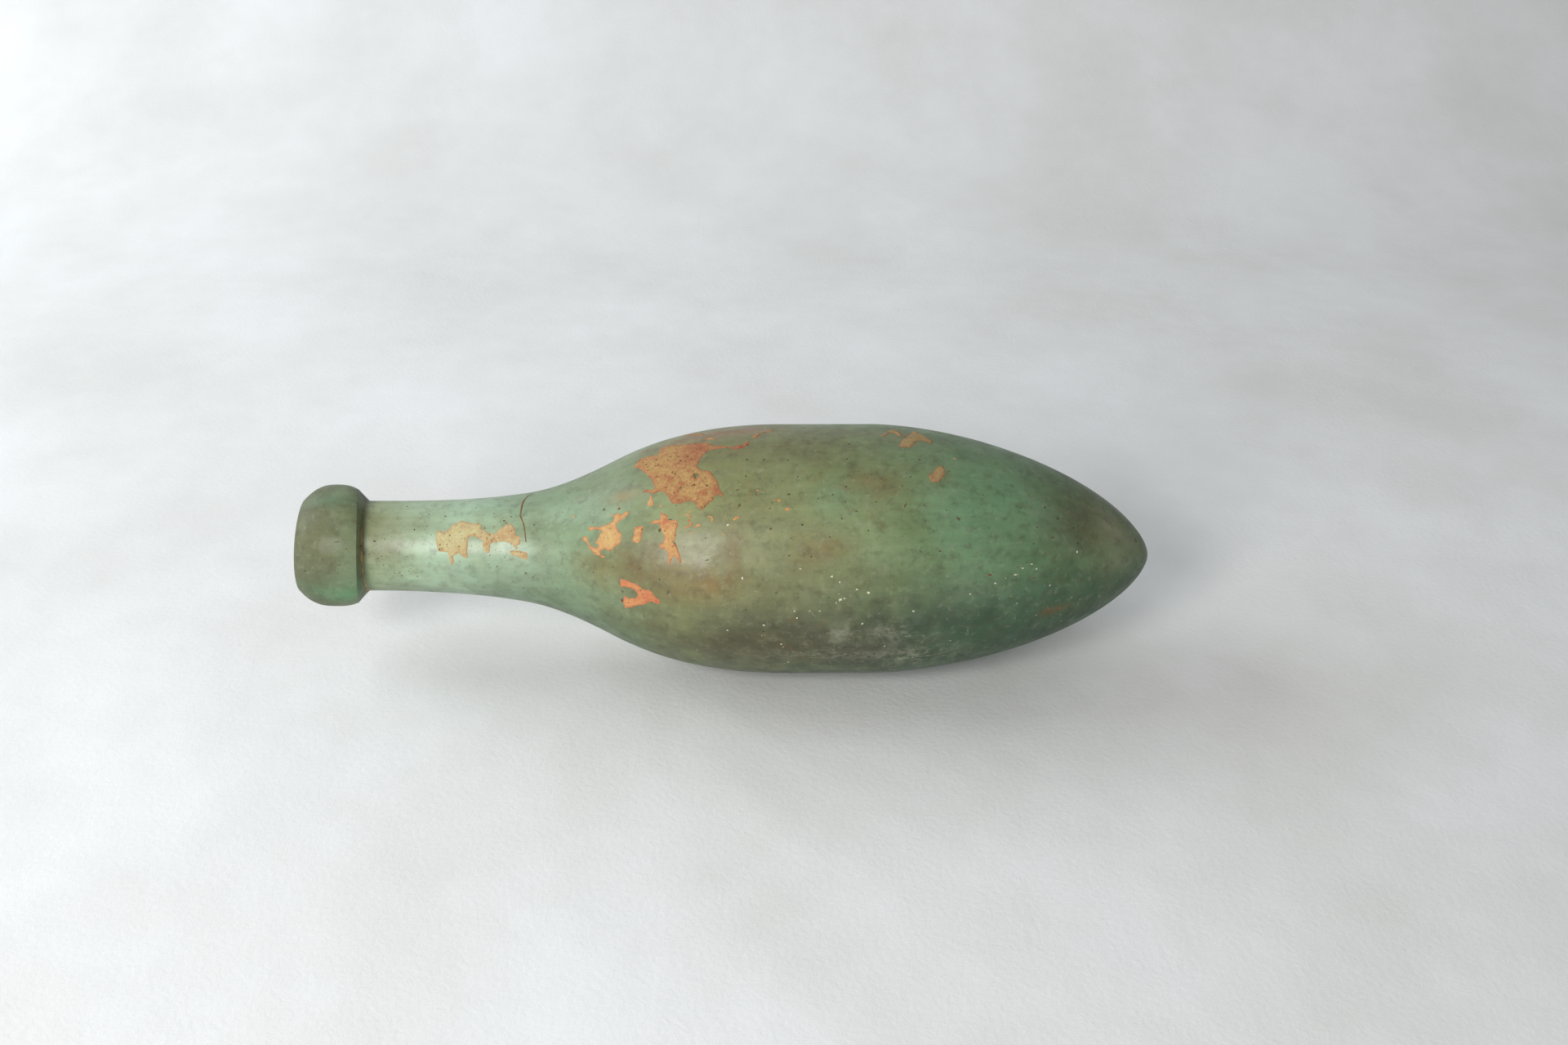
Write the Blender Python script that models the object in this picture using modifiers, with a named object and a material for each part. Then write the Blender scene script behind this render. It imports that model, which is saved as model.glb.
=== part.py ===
"""A torpedo bottle: a round-bodied glass bottle with a pointed end, lying on its side.

Units are metres and +Z is up. The bottle's long axis runs along X, with the mouth at -X and the
point at +X. The origin is on the surface it lies on, under the middle of its overall box. It is
one piece of glass: a turned, hollow form, with the blob lip fused to the neck. A small flat spot
under the belly, below the centre of mass, keeps it from rolling.
"""

import math

import bmesh
import bpy
from mathutils import Matrix

# Lengths along the axis, from the mouth to the point
LIP_FRONT_LENGTH = 0.0090
LIP_BACK_LENGTH = 0.0060
LIP_UNDERCUT_LENGTH = 0.0028
NECK_LENGTH = 0.0433
SHOULDER_FOOT_LENGTH = 0.0244
SHOULDER_LENGTH = 0.0462
BELLY_LENGTH = 0.0237
POINT_LENGTH = 0.0760

# Outer radii
MOUTH_RADIUS = 0.0126
LIP_RADIUS = 0.0167
LIP_HEEL_RADIUS = 0.0153
NECK_RADIUS = 0.01235
NECK_FOOT_RADIUS = 0.0150
SHOULDER_RADIUS = 0.0242
BODY_RADIUS = 0.0341

# How full the bulge of the lip is
LIP_FULLNESS = 2.6

# Slopes of the outline, radius gained for each unit of length
NECK_FOOT_SLOPE = 0.16
SHOULDER_SLOPE = 0.51

# The curve of the pointed end: how late it starts to fall away, and how round its tip is
POINT_LATENESS = 1.70
POINT_ROUNDNESS = 0.615

# Glass walls
NECK_WALL = 0.0042
BODY_WALL = 0.0055
POINT_WALL = 0.0150
BORE_EDGE_ROUNDING = 0.0012

# The slight bend of a hand-made bottle: how far the point droops and the mouth rises
POINT_DROOP = 0.0019
MOUTH_RISE = 0.0011

# The lip was put on askew: how far each place on it leans along the axis, for each unit of
# distance along Y and along Z, and how far down the neck the lean has faded out
MOUTH_LEAN = (-0.047, 0.094)
HEEL_LEAN = (-0.190, 0.110)
JOINT_LEAN = (-0.063, 0.036)
LEAN_FADE_LENGTH = 0.0100

# Depth of the flat spot below the belly
FLAT_SPOT_DEPTH = 0.0004

# Fineness of the faceted surface
SEGMENTS = 56
LIP_RINGS = 9
NECK_RINGS = 6
SHOULDER_RINGS = 8
BELLY_RINGS = 4
POINT_RINGS = 14
BORE_EDGE_RINGS = 3

# Glass colour, and how rough and see-through its worn surface is
GLASS_COLOUR = (0.36, 0.47, 0.36, 1.0)
GLASS_ROUGHNESS = 0.45
GLASS_TRANSMISSION = 0.6

# Places along the axis, counted from the mouth
LIP_HEEL = LIP_FRONT_LENGTH + LIP_BACK_LENGTH
NECK_START = LIP_HEEL + LIP_UNDERCUT_LENGTH
NECK_FOOT = NECK_START + NECK_LENGTH
SHOULDER = NECK_FOOT + SHOULDER_FOOT_LENGTH
BELLY_START = SHOULDER + SHOULDER_LENGTH
POINT_START = BELLY_START + BELLY_LENGTH
OVERALL_LENGTH = POINT_START + POINT_LENGTH


def clear_scene():
    """Remove every object of the open scene."""
    for item in list(bpy.data.objects):
        bpy.data.objects.remove(item, do_unlink=True)


def make_collection(name):
    """Add an empty collection to the scene."""
    collection = bpy.data.collections.new(name)
    bpy.context.scene.collection.children.link(collection)
    return collection


def glass_material():
    """Old green bottle glass with a dull, worn surface."""
    material = bpy.data.materials.new("green_glass")
    material.use_nodes = True
    shader = material.node_tree.nodes["Principled BSDF"]
    shader.inputs["Base Color"].default_value = GLASS_COLOUR
    shader.inputs["Roughness"].default_value = GLASS_ROUGHNESS
    shader.inputs["Metallic"].default_value = 0.0
    shader.inputs["Transmission Weight"].default_value = GLASS_TRANSMISSION
    return material


def flowing_radius(along, start, end):
    """Radius at a place between two stations, each a (place, radius, slope), on a smooth cubic."""
    place_a, radius_a, slope_a = start
    place_b, radius_b, slope_b = end
    span = place_b - place_a
    t = (along - place_a) / span
    return (
        radius_a * (2 * t**3 - 3 * t**2 + 1)
        + radius_b * (3 * t**2 - 2 * t**3)
        + slope_a * span * (t**3 - 2 * t**2 + t)
        + slope_b * span * (t**3 - t**2)
    )


def lip_radius(along):
    """Outer radius of the blob lip: a bulge that falls off to the mouth and to its heel."""
    if along < LIP_FRONT_LENGTH:
        fall = LIP_RADIUS - MOUTH_RADIUS
        share = (LIP_FRONT_LENGTH - along) / LIP_FRONT_LENGTH
    else:
        fall = LIP_RADIUS - LIP_HEEL_RADIUS
        share = (along - LIP_FRONT_LENGTH) / LIP_BACK_LENGTH
    return LIP_RADIUS - fall * share**LIP_FULLNESS


def point_radius(share, radius):
    """Radius of the pointed end at a share of its length, from 0 at its start to 1 at its tip."""
    return radius * (1.0 - share**POINT_LATENESS) ** POINT_ROUNDNESS


def outer_radius(along):
    """Outer radius of the glass at a place along the axis, from the mouth to the point's start."""
    neck_start = (NECK_START, NECK_RADIUS, 0.0)
    neck_foot = (NECK_FOOT, NECK_FOOT_RADIUS, NECK_FOOT_SLOPE)
    shoulder = (SHOULDER, SHOULDER_RADIUS, SHOULDER_SLOPE)
    belly_start = (BELLY_START, BODY_RADIUS, 0.0)
    if along < LIP_HEEL:
        return lip_radius(along)
    if along < NECK_START:
        share = (along - LIP_HEEL) / LIP_UNDERCUT_LENGTH
        return LIP_HEEL_RADIUS + (NECK_RADIUS - LIP_HEEL_RADIUS) * share
    if along < NECK_FOOT:
        return flowing_radius(along, neck_start, neck_foot)
    if along < SHOULDER:
        return flowing_radius(along, neck_foot, shoulder)
    if along < BELLY_START:
        return flowing_radius(along, shoulder, belly_start)
    return BODY_RADIUS


def wall_thickness(along):
    """Thickness of the glass, which grows smoothly from the neck's to the body's."""
    share = (along - NECK_START) / (BELLY_START - NECK_START)
    share = min(max(share, 0.0), 1.0)
    ease = share * share * (3.0 - 2.0 * share)
    return NECK_WALL + (BODY_WALL - NECK_WALL) * ease


def spread(start, end, count):
    """Places from start towards end, evenly spaced, with the end left to the next stretch."""
    return [start + (end - start) * i / count for i in range(count)]


def tip_shares(count):
    """Shares of the pointed end's length, closer together towards the tip, which is left out."""
    return [math.sin(0.5 * math.pi * i / count) for i in range(count)]


def outside_outline():
    """Outer outline as (along, radius) points from the mouth to the tip."""
    places = spread(0.0, LIP_HEEL, LIP_RINGS)
    places += spread(LIP_HEEL, NECK_START, 1)
    places += spread(NECK_START, NECK_FOOT, NECK_RINGS)
    places += spread(NECK_FOOT, SHOULDER, NECK_RINGS)
    places += spread(SHOULDER, BELLY_START, SHOULDER_RINGS)
    places += spread(BELLY_START, POINT_START, BELLY_RINGS)
    outline = [(along, outer_radius(along)) for along in places]
    for share in tip_shares(POINT_RINGS):
        outline.append((POINT_START + POINT_LENGTH * share, point_radius(share, BODY_RADIUS)))
    outline.append((OVERALL_LENGTH, 0.0))
    return outline


def inside_outline():
    """Outline of the hollow as (along, radius) points from the mouth to the hollow's end."""
    bore = NECK_RADIUS - NECK_WALL
    outline = []
    for step in range(BORE_EDGE_RINGS):
        turn = 0.5 * math.pi * step / BORE_EDGE_RINGS
        along = BORE_EDGE_ROUNDING * (1.0 - math.cos(turn))
        outline.append((along, bore + BORE_EDGE_ROUNDING * (1.0 - math.sin(turn))))
    outline.append((BORE_EDGE_ROUNDING, bore))
    places = spread(NECK_START, NECK_FOOT, NECK_RINGS)
    places += spread(NECK_FOOT, SHOULDER, NECK_RINGS)
    places += spread(SHOULDER, BELLY_START, SHOULDER_RINGS)
    places += spread(BELLY_START, POINT_START, BELLY_RINGS)
    outline += [(along, outer_radius(along) - wall_thickness(along)) for along in places]
    hollow_length = POINT_LENGTH - POINT_WALL
    for share in tip_shares(POINT_RINGS):
        radius = point_radius(share, BODY_RADIUS - BODY_WALL)
        outline.append((POINT_START + hollow_length * share, radius))
    outline.append((POINT_START + hollow_length, 0.0))
    return outline


def profile_object(name):
    """The turned profile as an edge chain at +X, from the tip down the outside and up the inside."""
    chain = list(reversed(outside_outline())) + inside_outline()
    mesh = bpy.data.meshes.new(name)
    shape = bmesh.new()
    points = [shape.verts.new((radius, 0.0, along)) for along, radius in chain]
    for lower, upper in zip(points, points[1:]):
        shape.edges.new((lower, upper))
    shape.to_mesh(mesh)
    shape.free()
    return bpy.data.objects.new(name, mesh)


def turned_mesh(profile):
    """The profile turned about the Z axis into a closed skin."""
    screw = profile.modifiers.new("turned", "SCREW")
    screw.axis = "Z"
    screw.angle = 2.0 * math.pi
    screw.steps = SEGMENTS
    screw.render_steps = SEGMENTS
    screw.use_merge_vertices = True
    screw.merge_threshold = 0.00001
    bpy.context.view_layer.update()
    evaluated = profile.evaluated_get(bpy.context.evaluated_depsgraph_get())
    return bpy.data.meshes.new_from_object(evaluated)


def axis_height(along):
    """Height of the bottle's own axis above that of a straight one, at a place along it."""
    if along > POINT_START:
        return -POINT_DROOP * ((along - POINT_START) / POINT_LENGTH) ** 2
    if along < SHOULDER:
        return MOUTH_RISE * (SHOULDER - along) / SHOULDER
    return 0.0


def lip_lean(along):
    """How far the glass leans along the axis for each unit of Y and of Z, at a place along it."""
    stations = [
        (0.0, MOUTH_LEAN),
        (LIP_HEEL, HEEL_LEAN),
        (NECK_START, JOINT_LEAN),
        (NECK_START + LEAN_FADE_LENGTH, (0.0, 0.0)),
    ]
    for (place_a, lean_a), (place_b, lean_b) in zip(stations, stations[1:]):
        if along <= place_b:
            share = (along - place_a) / (place_b - place_a)
            lean_y = lean_a[0] + (lean_b[0] - lean_a[0]) * share
            lean_z = lean_a[1] + (lean_b[1] - lean_a[1]) * share
            return lean_y, lean_z
    return 0.0, 0.0


def mouth_overhang():
    """How far the leaning mouth reaches past its own middle, along the axis."""
    return MOUTH_RADIUS * math.hypot(*MOUTH_LEAN)


def bend(mesh):
    """Lay the turned mesh along X, with its lean and bend, on the surface below its flat spot."""
    mesh.transform(Matrix.Rotation(0.5 * math.pi, 4, "Y"))
    middle = 0.5 * (OVERALL_LENGTH - mouth_overhang())
    axis_level = BODY_RADIUS - FLAT_SPOT_DEPTH
    for vertex in mesh.vertices:
        along = vertex.co.x
        lean_y, lean_z = lip_lean(along)
        vertex.co.x = along + lean_y * vertex.co.y + lean_z * vertex.co.z - middle
        vertex.co.z += axis_height(along) + axis_level
    mesh.update()


def flat_spot_cutter(collection):
    """A block whose top is the surface that the bottle lies on."""
    bpy.ops.mesh.primitive_cube_add(size=1.0)
    cutter = bpy.context.active_object
    cutter.name = "flat_spot_cutter"
    depth = BODY_RADIUS
    size = Matrix.Diagonal((OVERALL_LENGTH, 2.0 * BODY_RADIUS, depth, 1.0))
    cutter.data.transform(Matrix.Translation((0.0, 0.0, -0.5 * depth)) @ size)
    for holder in list(cutter.users_collection):
        holder.objects.unlink(cutter)
    collection.objects.link(cutter)
    cutter.hide_render = True
    cutter.display_type = "WIRE"
    return cutter


def make_bottle(parts, cutters):
    """The whole bottle: turned, hollow, slightly bent, with its flat spot."""
    profile = profile_object("bottle_profile")
    parts.objects.link(profile)
    mesh = turned_mesh(profile)
    bpy.data.objects.remove(profile, do_unlink=True)
    mesh.name = "bottle"
    bend(mesh)
    mesh.materials.clear()
    mesh.materials.append(glass_material())
    mesh.shade_smooth()
    mesh.set_sharp_from_angle(angle=math.radians(35.0))
    bottle = bpy.data.objects.new("bottle", mesh)
    parts.objects.link(bottle)
    cut = bottle.modifiers.new("flat_spot", "BOOLEAN")
    cut.operation = "DIFFERENCE"
    cut.solver = "EXACT"
    cut.object = flat_spot_cutter(cutters)
    return bottle


def main():
    """Build the bottle."""
    clear_scene()
    parts = make_collection("torpedo_bottle")
    cutters = make_collection("cutters")
    make_bottle(parts, cutters)
    bpy.context.view_layer.update()


main()
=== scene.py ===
"""Looks of an old green torpedo bottle, lying on a pale sheet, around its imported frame.

Everything is in metres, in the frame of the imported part: the mouth is at -X, the point at +X, and
the front that the camera sees faces -Y. A place on the glass is given as a Spot, how far along the
bottle's axis from the mouth and at which angle around it, or as a Pixel of the photograph's frame,
which is found on the glass by a ray from the camera.
"""

import logging
import math
import random
from contextlib import contextmanager
from dataclasses import dataclass, field
from enum import Enum
from functools import cached_property
from typing import Iterator, NamedTuple, Optional, Sequence, Union

import bpy
import numpy as np
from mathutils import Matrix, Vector, noise


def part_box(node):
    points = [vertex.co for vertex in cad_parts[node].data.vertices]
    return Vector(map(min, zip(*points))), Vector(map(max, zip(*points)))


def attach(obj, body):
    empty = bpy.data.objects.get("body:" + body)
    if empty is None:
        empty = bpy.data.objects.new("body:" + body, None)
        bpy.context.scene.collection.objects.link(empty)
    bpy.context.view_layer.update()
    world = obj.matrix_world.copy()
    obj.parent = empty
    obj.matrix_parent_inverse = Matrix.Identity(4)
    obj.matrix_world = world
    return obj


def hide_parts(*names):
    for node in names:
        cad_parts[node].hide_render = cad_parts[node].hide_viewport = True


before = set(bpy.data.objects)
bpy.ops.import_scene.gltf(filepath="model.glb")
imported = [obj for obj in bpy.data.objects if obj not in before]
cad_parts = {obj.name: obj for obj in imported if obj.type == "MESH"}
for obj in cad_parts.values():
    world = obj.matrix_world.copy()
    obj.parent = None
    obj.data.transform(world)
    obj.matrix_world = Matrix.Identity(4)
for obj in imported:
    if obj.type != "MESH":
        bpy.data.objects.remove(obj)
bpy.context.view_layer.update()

LOG = logging.getLogger("torpedo_bottle")
BODY = "root"
MM = 0.001


class Pixel(NamedTuple):
    """A place in the photograph's frame of 1920 by 1280, counted from its upper left corner."""

    across: float
    down: float


class Spot(NamedTuple):
    """A place on the glass: metres from the mouth, degrees around (0 the front, 90 the top)."""

    along: float
    around: float


Place = Union[Pixel, Spot]


class Tone(NamedTuple):
    """A colour as it is seen, with red, green and blue from 0 to 255."""

    red: float
    green: float
    blue: float

    def linear(self) -> tuple[float, float, float, float]:
        """The colour as a shader takes it."""
        values = []
        for value in self:
            share = value / 255.0
            low = share / 12.92
            high = ((share + 0.055) / 1.055) ** 2.4
            values.append(low if share <= 0.04045 else high)
        return values[0], values[1], values[2], 1.0


class Swell(NamedTuple):
    """One swell of a surface: radians a metre along, turns around, its phase and its share."""

    along: float
    around: float
    phase: float
    share: float

    def height(self, along: np.ndarray, around: np.ndarray) -> np.ndarray:
        """Its height at places along and at angles around, from its share below 0 to above."""
        return self.share * np.sin(self.along * along + self.around * around + self.phase)


def pixels(*points: tuple[float, float]) -> tuple[Pixel, ...]:
    """Plain pairs of numbers as pixels."""
    return tuple(Pixel(*point) for point in points)


# The form of the glass


@dataclass(frozen=True)
class BottleForm:
    """The form of the glass: the sizes of the part's source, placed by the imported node's box."""

    lip_front_length: float = 0.0090
    lip_back_length: float = 0.0060
    lip_undercut_length: float = 0.0028
    neck_length: float = 0.0433
    shoulder_foot_length: float = 0.0244
    shoulder_length: float = 0.0462
    belly_length: float = 0.0237
    point_length: float = 0.0760
    mouth_radius: float = 0.0126
    lip_radius: float = 0.0167
    lip_heel_radius: float = 0.0153
    neck_radius: float = 0.01235
    neck_foot_radius: float = 0.0150
    shoulder_radius: float = 0.0242
    body_radius: float = 0.0341
    lip_fullness: float = 2.6
    neck_foot_slope: float = 0.16
    shoulder_slope: float = 0.51
    point_lateness: float = 1.70
    point_roundness: float = 0.615
    neck_wall: float = 0.0042
    body_wall: float = 0.0055
    point_wall: float = 0.0150
    bore_edge_rounding: float = 0.0012
    point_droop: float = 0.0019
    mouth_rise: float = 0.0011
    mouth_lean: tuple[float, float] = (-0.047, 0.094)
    heel_lean: tuple[float, float] = (-0.190, 0.110)
    joint_lean: tuple[float, float] = (-0.063, 0.036)
    lean_fade_length: float = 0.0100
    waviness: float = 0.00007
    swells: tuple[Swell, ...] = (
        Swell(61, 2, 0.0, 1.0), Swell(97, -3, 1.3, 1.0), Swell(210, 5, 0.7, 0.5),
    )
    calm_mouth_length: float = 0.006
    calm_tip_length: float = 0.02
    straightening_rounds: int = 40
    lip_fill: float = 0.0010
    lip_fill_around: tuple[float, float] = (10.0, 48.0)
    node: str = "bottle"

    @property
    def lip_heel(self) -> float:
        """Where the lip's bulge ends, from the mouth."""
        return self.lip_front_length + self.lip_back_length

    @property
    def neck_start(self) -> float:
        """Where the plain neck starts."""
        return self.lip_heel + self.lip_undercut_length

    @property
    def neck_foot(self) -> float:
        """Where the neck starts to widen fast."""
        return self.neck_start + self.neck_length

    @property
    def shoulder(self) -> float:
        """Where the shoulder is at its steepest."""
        return self.neck_foot + self.shoulder_foot_length

    @property
    def belly_start(self) -> float:
        """Where the body is at its widest."""
        return self.shoulder + self.shoulder_length

    @property
    def point_start(self) -> float:
        """Where the pointed end starts."""
        return self.belly_start + self.belly_length

    @property
    def overall_length(self) -> float:
        """Length from the mouth's middle to the tip."""
        return self.point_start + self.point_length

    @cached_property
    def middle(self) -> float:
        """How far from the mouth the frame's origin is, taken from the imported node's box."""
        return self.overall_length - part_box(self.node)[1].x

    @cached_property
    def axis_level(self) -> float:
        """Height of the straight part of the axis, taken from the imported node's box."""
        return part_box(self.node)[1].z - self.body_radius

    def flowing_radius(
        self,
        along: np.ndarray,
        start: tuple[float, float, float],
        end: tuple[float, float, float],
    ) -> np.ndarray:
        """Radius on a smooth cubic between two stations.

        Args:
            along: places along the axis.
            start: place, radius and slope of the first station.
            end: place, radius and slope of the second station.

        Returns:
            The radius at each place.
        """
        span = end[0] - start[0]
        t = (along - start[0]) / span
        rise = 3 * t**2 - 2 * t**3
        return (
            start[1] * (1 - rise)
            + end[1] * rise
            + start[2] * span * (t**3 - 2 * t**2 + t)
            + end[2] * span * (t**3 - t**2)
        )

    def outer_radius(self, along: np.ndarray) -> np.ndarray:
        """Outer radius of the glass.

        Args:
            along: places along the axis, from the mouth.

        Returns:
            The radius at each place.
        """
        along = np.asarray(along, float)
        front = np.clip(1 - along / self.lip_front_length, 0, 1)
        back = np.clip((along - self.lip_front_length) / self.lip_back_length, 0, 1)
        lip = self.lip_radius - (self.lip_radius - self.mouth_radius) * front**self.lip_fullness
        lip = lip - (self.lip_radius - self.lip_heel_radius) * back**self.lip_fullness
        share = (along - self.lip_heel) / self.lip_undercut_length
        undercut = self.lip_heel_radius + (self.neck_radius - self.lip_heel_radius) * share
        stations = (
            (self.neck_start, self.neck_radius, 0.0),
            (self.neck_foot, self.neck_foot_radius, self.neck_foot_slope),
            (self.shoulder, self.shoulder_radius, self.shoulder_slope),
            (self.belly_start, self.body_radius, 0.0),
        )
        flow = [self.flowing_radius(along, a, b) for a, b in zip(stations, stations[1:])]
        fall = np.clip((along - self.point_start) / self.point_length, 0, 1)
        point = self.body_radius * (1 - fall**self.point_lateness) ** self.point_roundness
        reach = (self.lip_heel, self.neck_start, self.neck_foot, self.shoulder, self.belly_start)
        return np.select([along < place for place in reach], [lip, undercut, *flow], point)

    def wall(self, along: np.ndarray) -> np.ndarray:
        """Thickness of the glass at each place along the axis, from the neck to the belly."""
        span = self.belly_start - self.neck_start
        share = np.clip((np.asarray(along, float) - self.neck_start) / span, 0, 1)
        return self.neck_wall + (self.body_wall - self.neck_wall) * (3 * share**2 - 2 * share**3)

    def waves(self, along: np.ndarray, around: np.ndarray) -> np.ndarray:
        """How far the hand-made surface dips below the even one, or fills the lip out above it.

        Args:
            along: places along the axis.
            around: angles around it, in radians.

        Returns:
            The depth of the dip at each place, in metres, below zero where the lip is fuller.
        """
        most = sum(swell.share for swell in self.swells)
        swelling = sum(swell.height(along, around) for swell in self.swells)
        calm = np.clip(along / self.calm_mouth_length, 0, 1)
        calm = calm * np.clip((self.overall_length - along) / self.calm_tip_length, 0, 1)
        back = np.clip((along - self.lip_front_length) / self.lip_back_length, 0, 1)
        foot = np.clip((self.neck_start - along) / self.lip_undercut_length, 0, 1)
        centre, reach = np.radians(self.lip_fill_around)
        front = np.exp(-0.5 * (np.angle(np.exp(1j * (around - centre))) / reach) ** 2)
        fill = self.lip_fill * back**2 * foot * front
        return self.waviness * calm * (most + swelling) / most - fill

    def lay(self, along: np.ndarray, across: np.ndarray, up: np.ndarray) -> np.ndarray:
        """Points of the straight bottle, one a row, laid down with its lean and slight bend."""
        x = along + self.lean(along, 0) * across + self.lean(along, 1) * up - self.middle
        return np.stack([x, across, up + self.axis_height(along)], axis=-1)

    def lean(self, along: np.ndarray, side: int) -> np.ndarray:
        """Lean of the askew lip along the axis, for each unit along Y (side 0) or Z (side 1)."""
        places = (0.0, self.lip_heel, self.neck_start, self.neck_start + self.lean_fade_length)
        leans = (self.mouth_lean[side], self.heel_lean[side], self.joint_lean[side], 0.0)
        return np.interp(along, places, leans)

    def axis_height(self, along: np.ndarray) -> np.ndarray:
        """Height of the axis: the mouth rises a little and the point droops."""
        droop = np.clip((along - self.point_start) / self.point_length, 0, None) ** 2
        rise = np.clip((self.shoulder - along) / self.shoulder, 0, None)
        return self.axis_level - self.point_droop * droop + self.mouth_rise * rise

    def straighten(self, points: np.ndarray) -> tuple[np.ndarray, np.ndarray, np.ndarray]:
        """Where points of the laid bottle are on the straight one.

        Args:
            points: points in the frame of the part, one a row.

        Returns:
            For each point its distance from the mouth, its angle around the axis in radians, and
            its distance from the axis.
        """
        x, y, z = points[:, 0], points[:, 1], points[:, 2]
        along = x + self.middle
        for _ in range(self.straightening_rounds):
            up = z - self.axis_height(along)
            along = x + self.middle - self.lean(along, 0) * y - self.lean(along, 1) * up
        up = z - self.axis_height(along)
        return along, np.arctan2(up, -y), np.hypot(y, up)

    def skin(self, along: np.ndarray, around: np.ndarray) -> np.ndarray:
        """Points on the outer surface, one a row, from places along and angles in radians."""
        radius = self.outer_radius(along) - self.waves(along, around)
        return self.lay(along, -radius * np.cos(around), radius * np.sin(around))

    def above_skin(
        self, along: np.ndarray, around: np.ndarray, lift: np.ndarray
    ) -> np.ndarray:
        """Points at a height above the outer surface, straight out from it.

        Args:
            along: distances from the mouth.
            around: angles around the axis, in radians.
            lift: heights above the glass.

        Returns:
            The points, one a row.
        """
        step, turn = 0.0001, 0.004
        forth = self.skin(along + step, around) - self.skin(along - step, around)
        round_ = self.skin(along, around + turn) - self.skin(along, around - turn)
        outward = np.cross(round_, forth)
        outward /= np.linalg.norm(outward, axis=1)[:, None] + 1e-12
        radial = self.skin(along, around) - self.lay(along, 0 * along, 0 * along)
        outward *= np.sign(np.sum(outward * radial, axis=1))[:, None]
        return self.skin(along, around) + outward * np.asarray(lift)[:, None]


# Small helpers for modelling


def deselect_everything() -> None:
    """Leave object mode with nothing selected, so that an operator acts on one piece only."""
    if bpy.context.object and bpy.context.object.mode != "OBJECT":
        bpy.ops.object.mode_set(mode="OBJECT")
    bpy.ops.object.select_all(action="DESELECT")


def work_on(piece: bpy.types.Object) -> None:
    """Select one piece alone and make it the active one."""
    deselect_everything()
    piece.select_set(True)
    bpy.context.view_layer.objects.active = piece


@contextmanager
def editing(everything: bool = True) -> Iterator[None]:
    """Edit mode on the active piece, with everything or with what was selected before."""
    bpy.ops.object.mode_set(mode="EDIT")
    if everything:
        bpy.ops.mesh.select_all(action="SELECT")
    yield
    bpy.ops.object.mode_set(mode="OBJECT")


def get_points(mesh: bpy.types.Mesh) -> np.ndarray:
    """The mesh's vertices, one a row."""
    flat = np.empty(len(mesh.vertices) * 3, np.float32)
    mesh.vertices.foreach_get("co", flat)
    return flat.reshape(-1, 3).astype(float)


def set_points(mesh: bpy.types.Mesh, points: np.ndarray) -> None:
    """Move the mesh's vertices."""
    mesh.vertices.foreach_set("co", np.asarray(points, np.float32).ravel())
    mesh.update()


def add_values(mesh: bpy.types.Mesh, name: str, values: np.ndarray) -> None:
    """Give each vertex of the mesh a number or a colour, under a name that a material reads."""
    if values.ndim == 1:
        attribute = mesh.attributes.new(name, "FLOAT", "POINT")
        attribute.data.foreach_set("value", np.asarray(values, np.float32))
        return
    attribute = mesh.attributes.new(name, "FLOAT_COLOR", "POINT")
    attribute.data.foreach_set("color", np.asarray(values, np.float32).ravel())


def apply_modifier(piece: bpy.types.Object, kind: str, **settings: object) -> None:
    """Put a modifier on a piece and apply it."""
    work_on(piece)
    modifier = piece.modifiers.new(kind.lower(), kind)
    for name, value in settings.items():
        setattr(modifier, name, value)
    bpy.ops.object.modifier_apply(modifier=modifier.name)


def smooth(piece: bpy.types.Object, angle: float) -> None:
    """Shade a piece smooth but for edges sharper than an angle in degrees."""
    work_on(piece)
    bpy.ops.object.shade_smooth_by_angle(angle=math.radians(angle))


def point_outwards(piece: bpy.types.Object) -> None:
    """Turn the faces of a closed piece outwards."""
    work_on(piece)
    with editing():
        bpy.ops.mesh.normals_make_consistent(inside=False)


def ragged(point: np.ndarray, size: float, seed: int) -> float:
    """Smooth seeded noise from -1 to 1 at a point, with bumps of about a size."""
    shift = 17.3 * seed
    return noise.noise(Vector((point[0] / size + shift, point[1] / size - shift, 0.37 * seed)))


# Finishes

Socket = bpy.types.NodeSocket
Input = Union[Socket, float, tuple[float, ...]]


class Blend(Enum):
    """How one colour is laid over another."""

    OVER = "MIX"
    STAIN = "MULTIPLY"


@dataclass(frozen=True)
class Pattern:
    """A cloudy pattern: its bumps to a metre, its finer layers, and the shares it is made into.

    The band is the part of the pattern that is used, and its ends become the two shares.
    """

    scale: float
    detail: float
    roughness: float
    band: tuple[float, float]
    shares: tuple[float, float] = (0.0, 1.0)
    stretch: Optional[tuple[float, float, float]] = None


@dataclass(frozen=True)
class Relief:
    """Fine relief: its bumps to a metre, its finer layers, its strength and its depth in metres."""

    scale: float
    detail: float
    roughness: float
    strength: float
    depth: float


@dataclass(frozen=True)
class Dots:
    """Dots: cells to a metre, a dot's radius as a share of its cell, and the share that has one."""

    scale: float
    reach: float
    share: float
    softness: float = 0.12


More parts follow.
